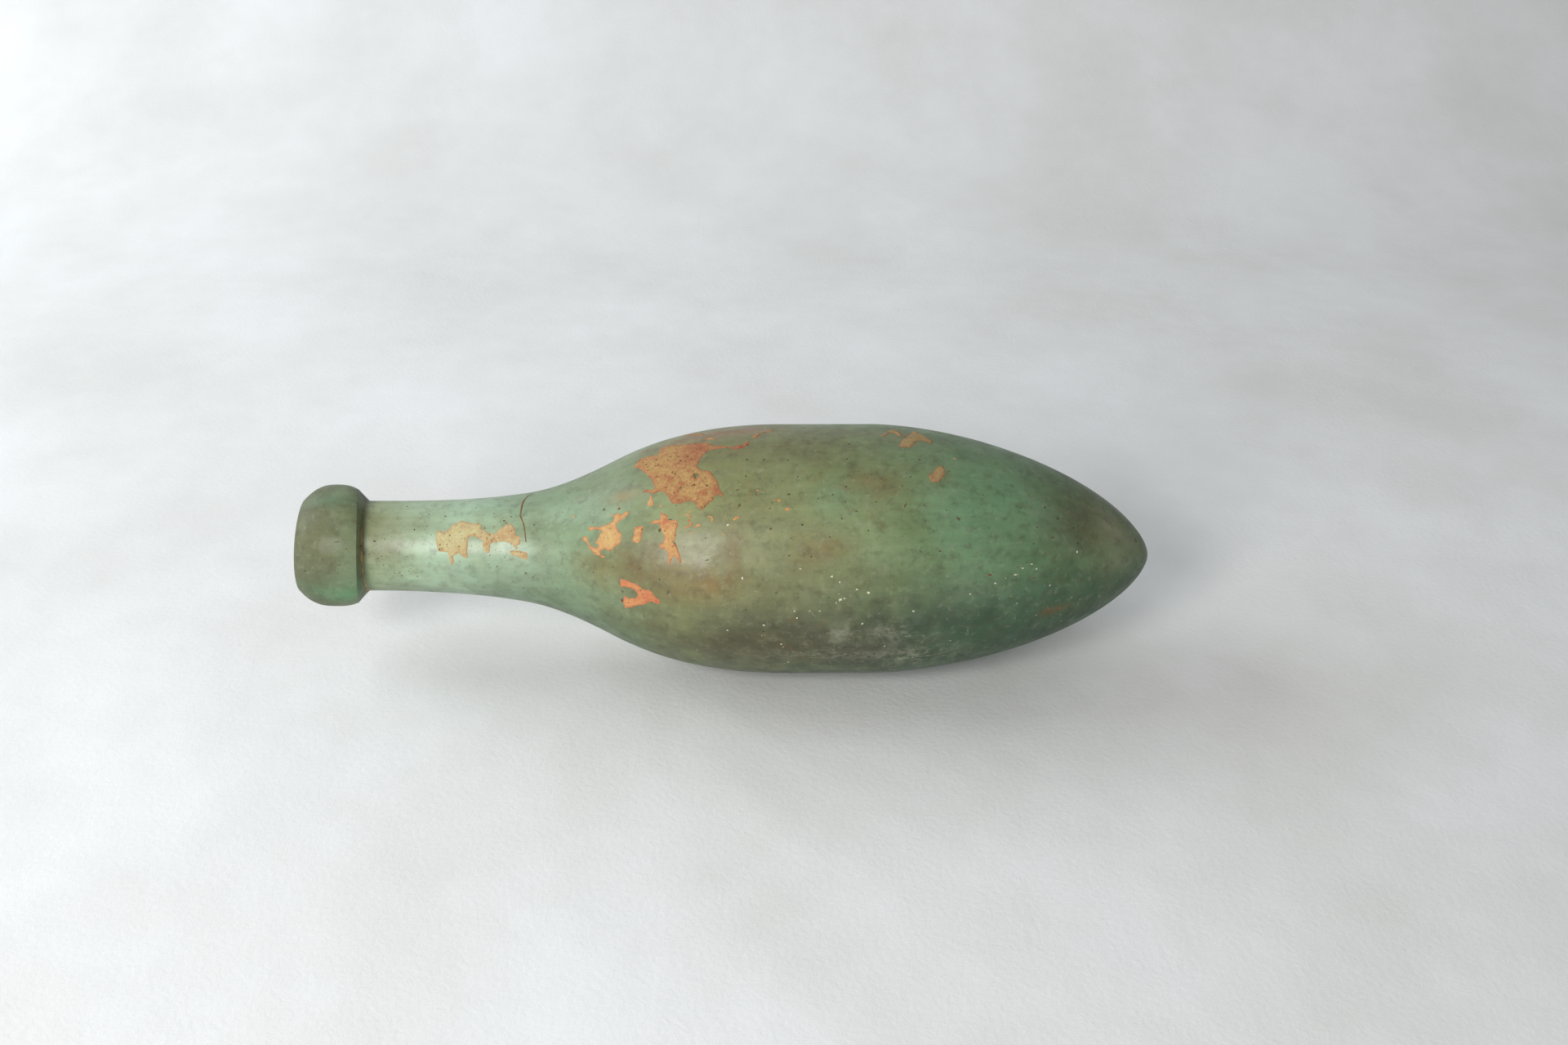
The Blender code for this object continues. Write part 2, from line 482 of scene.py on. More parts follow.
class Recipe:
    """A node material as it is put together."""

    def __init__(self, name: str) -> None:
        """Start with a plain shader and the piece's own coordinates."""
        self.material = bpy.data.materials.new(name)
        self.material.use_nodes = True
        self.tree = self.material.node_tree
        self.shader = self.tree.nodes["Principled BSDF"]
        self.coordinates = self.tree.nodes.new("ShaderNodeTexCoord").outputs["Object"]

    def feed(self, target: Socket, source: Input) -> None:
        """Link a socket, or set its value where the source is a plain one."""
        if isinstance(source, bpy.types.NodeSocket):
            self.tree.links.new(source, target)
        else:
            target.default_value = source

    def node(self, kind: str, inputs: dict[Union[str, int], Input]) -> bpy.types.Node:
        """A new node of a kind, with its inputs fed."""
        node = self.tree.nodes.new(f"ShaderNode{kind}")
        for name, source in inputs.items():
            self.feed(node.inputs[name], source)
        return node

    def painted(self, name: str, output: str = "Fac") -> Socket:
        """What was painted on the piece's vertices under a name."""
        node = self.node("Attribute", {})
        node.attribute_name = name
        return node.outputs[output]

    def stretched(self, scale: tuple[float, float, float]) -> Socket:
        """The piece's coordinates, stretched along the axes."""
        return self.node("Mapping", {"Scale": scale, "Vector": self.coordinates}).outputs[0]

    def noise(self, kind: Union[Pattern, Relief], vector: Socket) -> Socket:
        """Cloudy values, from 0 to 1 about 0.5, at coordinates."""
        inputs = {"Scale": kind.scale, "Detail": kind.detail, "Roughness": kind.roughness}
        return self.node("TexNoise", {**inputs, "Vector": vector}).outputs["Fac"]

    def cloudy(self, pattern: Pattern) -> Socket:
        """The shares that a cloudy pattern is made into."""
        vector = self.stretched(pattern.stretch) if pattern.stretch else self.coordinates
        return self.span(self.noise(pattern, vector), *pattern.band, *pattern.shares)

    def dots(self, kind: Dots) -> Socket:
        """Round dots, each in its own cell: 1 in a dot and 0 beside it."""
        node = self.node("TexVoronoi", {"Scale": kind.scale, "Vector": self.coordinates})
        split = self.node("SeparateColor", {"Color": node.outputs["Color"]})
        chosen = self.sum("LESS_THAN", split.outputs["Red"], kind.share)
        width = self.sum("MULTIPLY", split.outputs["Green"], kind.reach)
        near = self.sum("SUBTRACT", width, node.outputs["Distance"])
        dot = self.span(near, 0.0, kind.softness * kind.reach, 0.0, 1.0)
        return self.sum("MULTIPLY", dot, chosen)

    def sum(self, operation: str, first: Input, second: Input) -> Socket:
        """One number made of two."""
        node = self.node("Math", {0: first, 1: second})
        node.operation = operation
        return node.outputs[0]

    def span(
        self, value: Input, low: float, high: float, to_low: float, to_high: float
    ) -> Socket:
        """A range of a number spread over another range, and held at its ends."""
        numbers = dict(enumerate((value, low, high, to_low, to_high)))
        return self.node("MapRange", numbers).outputs[0]

    def over(self, share: Input, under: Input, upper: Input, blend: Blend = Blend.OVER) -> Socket:
        """One colour laid over another.

        Args:
            share: how much of the upper colour shows.
            under: the colour below.
            upper: the colour above.
            blend: how it is laid on.

        Returns:
            The socket of the blended colour.
        """
        node = self.node("Mix", {})
        node.data_type = "RGBA"
        node.blend_type = blend.value
        for place, source in ((0, share), (6, under), (7, upper)):
            self.feed(node.inputs[place], source)
        return node.outputs[2]

    def bump(self, height: Input, strength: float, depth: float, below: Socket = None) -> Socket:
        """Fine relief.

        Args:
            height: the pattern of its heights.
            strength: how much of it shows.
            depth: how deep it is, in metres.
            below: relief that it lies on.

        Returns:
            The socket of the tilted normal.
        """
        inputs = {"Strength": strength, "Distance": depth, "Height": height}
        if below:
            inputs["Normal"] = below
        return self.node("Bump", inputs).outputs["Normal"]

    def relief(self, kind: Relief, below: Socket = None) -> Socket:
        """Cloudy relief, over other relief where that is given."""
        height = self.noise(kind, self.coordinates)
        return self.bump(height, kind.strength, kind.depth, below)

    def dress(self, colour: Socket, roughness: Input, relief: Socket) -> bpy.types.Material:
        """The material, once its shader has its colour, roughness and relief."""
        for name, source in (("Base Color", colour), ("Roughness", roughness), ("Normal", relief)):
            self.feed(self.shader.inputs[name], source)
        return self.material


@dataclass(frozen=True)
class OldGlassFinish:
    """Green glass with a dull, worn skin, brown stains and lime in its pits, over tones painted on
    its vertices that hold painted shade; one bloom of its lime is also a painted highlight.
    """

    name: str = "old_green_glass"
    transmission: float = 0.32
    bend_of_light: float = 1.5
    gloss_coat: float = 0.10
    gloss_roughness: float = 0.16
    worn_roughness: float = 0.36
    bare_specks: float = 0.25
    clouds: Pattern = Pattern(70, 4, 0.6, (0.42, 0.68), (0.0, 0.42))
    streaks: Pattern = Pattern(1.0, 3, 0.6, (0.3, 0.70), (0.22, 0.0), (60, 420, 420))
    dark_clouds: Pattern = Pattern(330, 6, 0.72, (0.50, 0.68), (0.0, 0.40))
    pale_clouds: Pattern = Pattern(520, 5, 0.7, (0.54, 0.72), (0.0, 0.26))
    lime_clouds: Pattern = Pattern(150, 6, 0.75, (0.46, 0.66))
    lime_scratches: Pattern = Pattern(1.0, 6, 0.75, (0.54, 0.66), stretch=(260, 1100, 1100))
    rust_clouds: Pattern = Pattern(420, 5, 0.7, (0.36, 0.6), (0.2, 1.0))
    flecks: Pattern = Pattern(1.0, 5, 0.8, (0.63, 0.69), (0.0, 0.8), (900, 2600, 2600))
    blots: Pattern = Pattern(240, 7, 0.75, (0.54, 0.66), (0.0, 0.42))
    dullness: Pattern = Pattern(190, 5, 0.7, (0.3, 0.7), (0.34, 0.52))
    specks: Dots = Dots(900, 0.28, 0.08)
    pits: Dots = Dots(1100, 0.5, 0.35)
    pit_strength: float = -0.25
    pit_depth: float = 0.0001
    grain: Relief = Relief(1400, 4, 0.65, 0.16, 0.00012)
    swell: Relief = Relief(120, 3, 0.5, 0.30, 0.0006)
    olive: Tone = Tone(196, 182, 132)
    dirt: Tone = Tone(62, 52, 34)
    rust: Tone = Tone(110, 70, 36)
    earth: Tone = Tone(138, 106, 60)
    lime: Tone = Tone(196, 196, 172)

    def material(self) -> bpy.types.Material:
        """The finish as a node material."""
        made = Recipe(self.name)
        lime, grime, rust = (made.painted(name) for name in ("lime", "grime", "rust"))
        tint, clouds = made.painted("tint", "Color"), made.cloudy(self.clouds)
        colour = made.over(clouds, tint, self.olive.linear(), Blend.STAIN)
        scratches = made.cloudy(self.lime_scratches)
        patchy = made.sum("MAXIMUM", made.cloudy(self.lime_clouds), scratches)
        specks = made.sum("MAXIMUM", made.dots(self.specks), made.cloudy(self.flecks))
        layers = (
            (made.cloudy(self.streaks), self.dirt),
            (made.cloudy(self.dark_clouds), self.dirt),
            (made.cloudy(self.pale_clouds), self.lime),
            # Lime haze, whose bloom on the belly's highlight is also a painted highlight.
            (made.sum("MULTIPLY", lime, patchy), self.lime),
            (made.sum("MULTIPLY", rust, made.cloudy(self.rust_clouds)), self.rust),
            (made.sum("MULTIPLY", specks, made.sum("ADD", grime, self.bare_specks)), self.dirt),
            (made.sum("MULTIPLY", made.cloudy(self.blots), grime), self.earth),
        )
        for share, tone in layers:
            colour = made.over(share, colour, tone.linear())
        worn = made.sum("MULTIPLY", made.painted("worn"), self.worn_roughness)
        roughness = made.sum("ADD", made.cloudy(self.dullness), worn)
        pitted = made.dots(self.pits)
        pitted = made.bump(pitted, self.pit_strength, self.pit_depth, made.relief(self.grain))
        made.shader.inputs["Transmission Weight"].default_value = self.transmission
        made.shader.inputs["IOR"].default_value = self.bend_of_light
        made.shader.inputs["Coat Weight"].default_value = self.gloss_coat
        made.shader.inputs["Coat Roughness"].default_value = self.gloss_roughness
        return made.dress(colour, roughness, made.relief(self.swell, pitted))


@dataclass(frozen=True)
class CrustFinish:
    """A dry crust of iron and lime: ochre, with redder rims, dark crumbs and pale crumbs."""

    name: str
    pale: Tone
    main: Tone
    red: Tone
    redness: float = 0.5
    crumbs: float = 0.5
    dark: Tone = Tone(96, 66, 40)
    roughness: float = 0.85
    fine: Pattern = Pattern(1500, 5, 0.7, (0.36, 0.66))
    rim_clouds: Pattern = Pattern(700, 3, 0.55, (0.3, 0.6), (0.3, 1.0))
    blush_clouds: Pattern = Pattern(650, 5, 0.7, (0.35, 0.6), (0.35, 1.0))
    grit: Pattern = Pattern(1250, 5, 0.75, (0.58, 0.66), (0.0, 0.8))
    grit_dots: Dots = Dots(1500, 0.6, 0.34)
    grain: Relief = Relief(2600, 5, 0.7, 0.5, 0.00012)

    def material(self) -> bpy.types.Material:
        """The finish as a node material."""
        made = Recipe(self.name)
        colour = made.over(made.cloudy(self.fine), self.main.linear(), self.pale.linear())
        blots = made.cloudy(Pattern(330, 5, 0.65, (0.48, 0.62), (0.0, self.redness)))
        rim = made.sum("MULTIPLY", made.painted("rim"), made.cloudy(self.rim_clouds))
        blush = made.sum("MULTIPLY", made.painted("blush"), made.cloudy(self.blush_clouds))
        blush = made.sum("MAXIMUM", blush, made.sum("MAXIMUM", blots, rim))
        colour = made.over(blush, colour, self.red.linear())
        crowded = made.cloudy(Pattern(260, 3, 0.55, (0.40, 0.56), (0.3, self.crumbs)))
        grit = made.sum("MAXIMUM", made.dots(self.grit_dots), made.cloudy(self.grit))
        colour = made.over(made.sum("MULTIPLY", grit, crowded), colour, self.dark.linear())
        return made.dress(colour, self.roughness, made.relief(self.grain))


@dataclass(frozen=True)
class DirtFinish:
    """Loose or burnt-in dirt of one kind, in two tones."""

    name: str
    light: Tone
    deep: Tone
    roughness: float = 0.9
    clouds: Pattern = Pattern(1300, 4, 0.7, (0.35, 0.65))
    grain: Relief = Relief(3000, 4, 0.55, 0.4, 0.0001)

    def material(self) -> bpy.types.Material:
        """The finish as a node material."""
        made = Recipe(self.name)
        colour = made.over(made.cloudy(self.clouds), self.deep.linear(), self.light.linear())
        return made.dress(colour, self.roughness, made.relief(self.grain))


@dataclass(frozen=True)
class SheetFinish:
    """The pale sheet below and behind the bottle, with the faint grain of soft hide."""

    name: str = "pale_sheet"
    light: Tone = Tone(234, 235, 236)
    shade: Tone = Tone(222, 222, 220)
    roughness: float = 0.75
    clouds: Pattern = Pattern(9, 4, 0.6, (0.35, 0.65))
    grain: Relief = Relief(620, 3, 0.55, 0.20, 0.0006)
    folds: Relief = Relief(30, 2, 0.5, 0.18, 0.004)

    def material(self) -> bpy.types.Material:
        """The finish as a node material."""
        made = Recipe(self.name)
        colour = made.over(made.cloudy(self.clouds), self.light.linear(), self.shade.linear())
        folded = made.relief(self.folds, made.relief(self.grain))
        return made.dress(colour, self.roughness, folded)


# The view of the photograph


@dataclass(frozen=True)
class PhotoView:
    """The camera, set to the photograph's viewing angle, and what a pixel of it points at."""

    place: Vector = field(default_factory=lambda: Vector((0.01646, -0.3749, 0.2583)))
    look_down: float = 30.0
    lens: float = 36.56
    sensor: float = 36.0
    nearest: float = 0.01
    wide: int = 1920
    high: int = 1280

    def add_camera(self) -> None:
        """Add the camera and make it the scene's own."""
        data = bpy.data.cameras.new("photo_view")
        data.lens, data.sensor_width, data.clip_start = self.lens, self.sensor, self.nearest
        camera = bpy.data.objects.new("photo_view", data)
        camera.location = self.place
        camera.rotation_euler = (math.radians(90.0 - self.look_down), 0.0, 0.0)
        bpy.context.scene.collection.objects.link(camera)
        bpy.context.scene.camera = camera

    def direction(self, pixel: Pixel) -> Vector:
        """The way from the camera through a pixel."""
        tilt = math.radians(self.look_down)
        focal = self.lens / self.sensor * self.wide
        right = (pixel.across - 0.5 * self.wide) / focal
        up = (0.5 * self.high - pixel.down) / focal
        forward = Vector((0.0, math.cos(tilt), -math.sin(tilt)))
        upward = Vector((0.0, math.sin(tilt), math.cos(tilt)))
        return (forward + right * Vector((1.0, 0.0, 0.0)) + up * upward).normalized()

    def find(self, pixel: Pixel, form: BottleForm, glass: bpy.types.Object) -> Spot:
        """Where the glass shows at a pixel.

        Args:
            pixel: the place in the photograph's frame.
            form: the form of the glass.
            glass: the finished glass.

        Returns:
            The spot on the glass.

        Raises:
            ValueError: when the pixel shows no glass.
        """
        hit, point, _, _ = glass.ray_cast(self.place, self.direction(pixel))
        if not hit:
            raise ValueError(f"no glass shows at {pixel}")
        along, around, _ = form.straighten(np.array([point]))
        return Spot(float(along[0]), math.degrees(float(around[0])))


# The glass


@dataclass(frozen=True)
class Patch:
    """A soft patch of the glass's skin, in millimetres: one of its stains, a patch of painted
    shade, or a place with more fine dirt.
    """

    place: Place
    length: float
    height: float
    strength: float
    tone: Optional[Tone] = None


def patches(*rows: tuple) -> tuple[Patch, ...]:
    """Rows of pixel, length, height, strength and, for stains and painted shade, their tone as
    patches.
    """
    return tuple(Patch(Pixel(*row[:2]), *row[2:]) for row in rows)


GREEN = Tone(132, 164, 132)
MILKY = Tone(196, 212, 188)
OLIVE = Tone(146, 140, 92)
BROWN = Tone(150, 116, 66)
ORANGE = Tone(186, 132, 70)
DARK_OLIVE = Tone(96, 92, 62)
GREY_BROWN = Tone(104, 98, 78)
DEEP_GREEN = Tone(78, 116, 84)

LONG_TONES = (
    (0.000, Tone(112, 118, 86)),
    (0.006, Tone(119, 128, 94)),
    (0.012, Tone(136, 156, 118)),
    (0.017, Tone(136, 154, 116)),
    (0.020, Tone(180, 196, 152)),
    (0.031, Tone(202, 230, 194)),
    (0.045, Tone(206, 238, 208)),
    (0.068, Tone(154, 186, 146)),
    (0.090, Tone(156, 182, 138)),
    (0.105, Tone(164, 171, 112)),
    (0.125, Tone(165, 170, 118)),
    (0.150, Tone(156, 172, 118)),
    (0.175, Tone(146, 181, 134)),
    (0.195, Tone(136, 180, 132)),
    (0.215, Tone(126, 154, 106)),
    (0.232, Tone(120, 144, 102)),
)

# Patches laid over the long tones: stains, with the painted shade and the dimmed highlight noted
# below.
STAINS_AND_PAINTED_SHADE = (
    # Painted shade: these two darken the underside of the belly and of the point, where little
    # light reaches.
    Patch(Spot(0.150, -62.0), 210, 46, 0.74, Tone(64, 90, 70)),
    Patch(Spot(0.205, -50.0), 80, 36, 0.78, Tone(46, 90, 60)),
    Patch(Spot(0.185, 112.0), 110, 30, 0.65, Tone(100, 128, 96)),
    Patch(Spot(0.085, 110.0), 60, 22, 0.45, Tone(132, 152, 112)),
    *patches(
        # Painted shade along the lower edge of the belly and the point: the rows at (950, 778),
        # (1060, 782), (1130, 765), (1355, 728), (1250, 772), (1205, 768), (1300, 722), (1062, 803),
        # (940, 794), (872, 790), (1060, 800), (1360, 716), (1290, 745) and (1190, 780) darken the
        # glass where it turns away from the light and the shadow under the bottle shows through.
        (950, 778, 46, 15, 0.55, Tone(88, 88, 68)), (1060, 782, 30, 14, 0.55, Tone(84, 88, 70)),
        (1130, 765, 24, 16, 0.50, Tone(66, 96, 72)), (1312, 622, 15, 17, 0.30, Tone(96, 94, 66)),
        (1262, 618, 11, 10, 0.58, Tone(148, 192, 150)), (1355, 728, 14, 5, 0.55, Tone(48, 84, 64)),
        (1250, 772, 20, 8, 0.45, Tone(50, 84, 60)), (1205, 768, 28, 12, 0.66, Tone(40, 76, 54)),
        (1300, 722, 18, 9, 0.48, Tone(44, 92, 62)), (1030, 606, 9, 8, 0.70, Tone(150, 190, 146)),
        (1075, 596, 12, 8, 0.60, Tone(132, 122, 76)), (1056, 590, 6, 4, 0.70, OLIVE),
        # Painted shade: the first patch on the next line dims the window's highlight on the belly.
        (872, 662, 10, 8, 0.45, Tone(140, 138, 96)), (805, 700, 14, 9, 0.45, Tone(178, 146, 92)),
        (728, 608, 14, 9, 0.50, Tone(118, 150, 112)), (1062, 803, 20, 7, 0.66, Tone(50, 78, 58)),
        (897, 684, 3.5, 11, 0.50, Tone(156, 128, 74)), (866, 716, 8, 5, 0.60, ORANGE),
        (992, 676, 6, 8, 0.45, Tone(150, 128, 74)), (1016, 671, 6, 5, 0.45, Tone(150, 128, 74)),
        (785, 688, 17, 9, 0.80, Tone(132, 118, 68)), (735, 695, 11, 9, 0.60, Tone(142, 134, 80)),
        (838, 712, 14, 8, 0.65, Tone(144, 130, 72)), (790, 760, 20, 6, 0.30, OLIVE),
        (765, 607, 7, 3, 0.40, ORANGE), (745, 590, 12, 7, 0.40, Tone(140, 146, 104)),
        (930, 548, 30, 9, 0.50, OLIVE), (1010, 548, 30, 9, 0.30, DARK_OLIVE),
        (940, 794, 32, 9, 0.70, DARK_OLIVE), (872, 790, 16, 8, 0.50, DARK_OLIVE),
        (1060, 800, 20, 6, 0.35, GREY_BROWN), (960, 700, 24, 12, 0.25, OLIVE),
        (1180, 640, 18, 14, 0.45, Tone(122, 172, 130)),
        (1215, 600, 14, 9, 0.45, Tone(118, 166, 126)), (1310, 640, 13, 12, 0.52, GREY_BROWN),
        (1366, 655, 10, 12, 0.70, Tone(164, 164, 130)), (1360, 716, 14, 4, 0.50, DEEP_GREEN),
        (1290, 745, 16, 9, 0.60, DEEP_GREEN), (1190, 780, 20, 9, 0.55, DEEP_GREEN),
        (1292, 747, 6, 2, 0.50, BROWN), (470, 675, 9, 4, 0.60, Tone(126, 112, 74)),
        (480, 640, 18, 7, 0.55, Tone(150, 148, 104)), (640, 690, 14, 10, 0.30, MILKY),
        (395, 665, 9, 11, 0.35, OLIVE), (425, 728, 8, 5, 0.85, Tone(112, 172, 118)),
        # Painted shade: the first patch on the next line darkens the shaded face of the lip's heel,
        # at the top where it meets the neck.
        (446, 609, 2.5, 3, 0.85, Tone(74, 96, 74)), (858, 535, 22, 5, 0.60, Tone(178, 124, 84)),
        (905, 527, 16, 5, 0.55, Tone(164, 112, 86)), (1040, 530, 24, 5, 0.45, Tone(128, 120, 88)),
        (1110, 536, 8, 5, 0.50, Tone(150, 132, 80)), (1150, 582, 5, 5, 0.40, Tone(150, 134, 84)),
        (405, 612, 9, 3, 0.70, Tone(124, 160, 126)), (400, 727, 9, 5, 0.60, Tone(126, 168, 130)),
        (600, 650, 16, 8, 0.40, Tone(190, 196, 140)), (650, 650, 8, 6, 0.40, Tone(140, 158, 112)),
    ),
)

LIME_AND_HIGHLIGHT_BLOOMS = patches(
    (1031, 777, 7, 4, 0.55), (1095, 775, 9, 6, 0.60), (1126, 804, 12, 6, 0.95),
    (1006, 801, 6, 2, 0.60), (1020, 803, 34, 3.0, 0.55), (1200, 715, 24, 10, 0.16),
    # The first bloom on the next line, at the belly's highlight, is partly lime and partly a
    # painted highlight: it whitens the glass where the window's reflection falls.
    (862, 684, 6, 6, 0.55), (505, 660, 18, 8, 0.22), (1020, 725, 22, 14, 0.16),
)

WORN_BLOOMS = (
    Patch(Spot(0.006, 20.0), 22, 60, 1.0),
    Patch(Spot(0.205, 20.0), 60, 60, 0.45),
    Patch(Spot(0.140, 60.0), 60, 24, 0.4),
    Patch(Spot(0.110, 200.0), 190, 60, 0.5),
)

GRIME_BLOOMS = patches(
    (745, 690, 10, 8, 0.7), (800, 702, 14, 8, 0.7), (897, 690, 6, 14, 1.0), (1005, 668, 10, 8, 1.0),
    (1320, 735, 16, 6, 0.6), (820, 760, 20, 8, 0.5), (470, 675, 7, 5, 1.0), (498, 650, 9, 4, 1.0),
    (620, 638, 5, 4, 0.8), (900, 600, 30, 14, 0.55), (1040, 590, 30, 16, 0.5),
    (1060, 620, 10, 8, 0.7), (960, 780, 30, 14, 0.6), (1310, 640, 16, 16, 0.6),
)


@dataclass
class GlassBottle:
    """The glass: one turned and hollow piece, laid down, with its flat spot, its stains and its
    painted shade.
    """

    form: BottleForm
    view: PhotoView
    finish: OldGlassFinish = OldGlassFinish()
    turns: int = 192
    lip_rings: int = 32
    undercut_rings: int = 8
    neck_rings: int = 42
    shoulder_rings: int = 70
    belly_rings: int = 22
    point_rings: int = 74
    bore_edge_rings: int = 5
    bore_rings: int = 8
    hollow_rings: int = 76
    sharp_angle: float = 40.0
    seed: int = 5
    end_rings: int = 30
    weld: float = 0.000005
    cut_precision: float = 1e-6
    skin_margin: float = 0.00002
    stained_depth: float = 0.0012
    least_radius: float = 0.006
    hidden_stain_count: int = 46
    hidden_along: tuple[float, float] = (0.02, 0.225)
    hidden_around: tuple[float, float] = (128.0, 292.0)
    hidden_lengths: tuple[float, float] = (8, 30)
    hidden_heights: tuple[float, float] = (5, 16)
    hidden_strengths: tuple[float, float] = (0.2, 0.55)
    coarse_patchiness: tuple[float, float] = (0.55, 210)
    fine_patchiness: tuple[float, float] = (0.35, 560)
    plain_grime: float = 0.25
    joint_rust: float = 0.22
    joint_rust_reach: float = 0.0007
    worn_inside: float = 0.3
    piece: bpy.types.Object = None

    def outside(self) -> list[tuple[float, float]]:
        """The outer outline as places and radii, from the mouth to the tip."""
        form = self.form
        stretches = (
            (0.0, form.lip_heel, self.lip_rings),
            (form.lip_heel, form.neck_start, self.undercut_rings),
            (form.neck_start, form.neck_foot, self.neck_rings),
            (form.neck_foot, form.belly_start, self.shoulder_rings),
            (form.belly_start, form.point_start, self.belly_rings),
        )
        places = [np.linspace(a, b, count, endpoint=False) for a, b, count in stretches]
        shares = np.sin(0.5 * math.pi * np.linspace(0, 1, self.point_rings, endpoint=False))
        places.append(form.point_start + form.point_length * shares)
        along = np.concatenate(places)
        outline = list(zip(along.tolist(), form.outer_radius(along).tolist()))
        return outline + [(form.overall_length, 0.0)]

    def inside(self) -> list[tuple[float, float]]:
        """The outline of the hollow as places and radii, from the mouth to its end."""
        form = self.form
        bore = form.neck_radius - form.neck_wall
        rounding = form.bore_edge_rounding
        turn = 0.5 * math.pi * np.arange(self.bore_edge_rings + 1) / self.bore_edge_rings
        edge = list(zip(rounding * (1 - np.cos(turn)), bore + rounding * (1 - np.sin(turn))))
        bores = np.linspace(rounding, form.neck_start, self.bore_rings, endpoint=False)[1:]
        places = np.linspace(form.neck_start, form.point_start, self.hollow_rings, endpoint=False)
        radii = form.outer_radius(places) - form.wall(places)
        shares = np.sin(0.5 * math.pi * np.linspace(0, 1, self.end_rings, endpoint=False))
        fall = (1 - shares**form.point_lateness) ** form.point_roundness
        length = form.point_length - form.point_wall
        ends = list(
            zip(form.point_start + length * shares, (form.body_radius - form.body_wall) * fall)
        )
        outline = edge + [(place, bore) for place in bores] + list(zip(places, radii)) + ends
        return outline + [(form.point_start + length, 0.0)]

    def draw_profile(self) -> bpy.types.Object:
        """One vertex, drawn out along the outline from the tip to the hollow's end."""
        chain = [*reversed(self.outside()), *self.inside()]
        deselect_everything()
        bpy.ops.mesh.primitive_plane_add(size=0.001, location=(0, 0, 0))
        piece = bpy.context.active_object
        with editing():
            bpy.ops.mesh.merge(type="CENTER")
            bpy.ops.transform.translate(value=(chain[0][0], 0.0, chain[0][1]))
            for (along, radius), (next_along, next_radius) in zip(chain, chain[1:]):
                step = (float(next_along - along), 0.0, float(next_radius - radius))
                bpy.ops.mesh.extrude_vertices_move(TRANSFORM_OT_translate={"value": step})
        return piece

    def turn(self, piece: bpy.types.Object) -> None:
        """Spin the drawn outline about the bottle's axis into a closed skin."""
        work_on(piece)
        turned = {"steps": self.turns, "angle": 2 * math.pi}
        with editing():
            bpy.ops.mesh.spin(center=(0, 0, 0), axis=(1, 0, 0), **turned)
            bpy.ops.mesh.select_all(action="SELECT")
            bpy.ops.mesh.remove_doubles(threshold=self.weld)
            bpy.ops.mesh.normals_make_consistent(inside=False)

    def lay_down(self, piece: bpy.types.Object) -> None:
        """Move the straight glass to its place, with the waves of its outer skin."""
        points = get_points(piece.data)
        along, across, up = points.T
        radius = np.hypot(across, up)
        around = np.arctan2(up, -across)
        outer = radius > self.form.outer_radius(along) - self.skin_margin
        dip = np.where(outer, self.form.waves(along, around), 0.0)
        share = 1 - dip / np.maximum(radius, 0.0001)
        set_points(piece.data, self.form.lay(along, across * share, up * share))

    def cut_flat_spot(self, piece: bpy.types.Object) -> None:
        """Cut off what is below the surface that the bottle lies on, and close the cut."""
        work_on(piece)
        cut = {"use_fill": True, "clear_inner": True, "threshold": self.cut_precision}
        with editing():
            bpy.ops.mesh.bisect(plane_co=(0, 0, 0), plane_no=(0, 0, 1), **cut)

    def spot(self, place: Place) -> Spot:
        """A place on the glass, whichever way it is given."""
        return self.view.find(place, self.form, self.piece) if isinstance(place, Pixel) else place

    def cover(self, patch: Patch, along: np.ndarray, around: np.ndarray) -> np.ndarray:
        """How much of a soft patch lies at each vertex.

        Args:
            patch: the patch, with its reach in millimetres along and around.
            along: distances of the vertices from the mouth.
            around: their angles around the axis, in radians.

        Returns:
            Shares from 0 to the patch's strength.
        """
        centre = self.spot(patch.place)
        radius = float(self.form.outer_radius(np.array([centre.along]))[0])
        turn = np.angle(np.exp(1j * (around - math.radians(centre.around))))
        far = (along - centre.along) / (0.5 * patch.length * MM)
        wide = turn * max(radius, self.least_radius) / (0.5 * patch.height * MM)
        return patch.strength * np.exp(-0.5 * (far**2 + wide**2))

    def patchiness(self, piece: bpy.types.Object) -> np.ndarray:
        """Cloudy numbers about 1 for the vertices, which make the stains and the painted shade
        uneven.
        """
        layers = (self.coarse_patchiness, self.fine_patchiness)
        values = [
            1.0 + sum(size * noise.noise(Vector(point) * scale) for size, scale in layers)
            for point in get_points(piece.data)
        ]
        return np.array(values)

    def hidden_stains(self) -> list[Patch]:
        """Seeded stains for the sides that the photograph doesn't show."""
        draw = random.Random(self.seed)
        tones = (OLIVE, OLIVE, GREEN, BROWN, DARK_OLIVE, MILKY, GREY_BROWN)
        stains = []
        for _ in range(self.hidden_stain_count):
            spot = Spot(draw.uniform(*self.hidden_along), draw.uniform(*self.hidden_around))
            length, height = draw.uniform(*self.hidden_lengths), draw.uniform(*self.hidden_heights)
            tone = draw.choice(tones)
            stains.append(Patch(spot, length, height, draw.uniform(*self.hidden_strengths), tone))
        return stains

    def paint(self, piece: bpy.types.Object) -> None:
        """Give each vertex its tone with its stains and its painted shade, and how much lime, grime
        and rust it has; one bloom of the lime is also a painted highlight.
        """
        along, around, radius = self.form.straighten(get_points(piece.data))
        outer = radius > self.form.outer_radius(along) - self.stained_depth
        places = [place for place, _ in LONG_TONES]
        tones = np.array([tone.linear() for _, tone in LONG_TONES])
        tint = np.stack([np.interp(along, places, tones[:, i]) for i in range(4)], axis=1)
        patchy = self.patchiness(piece)
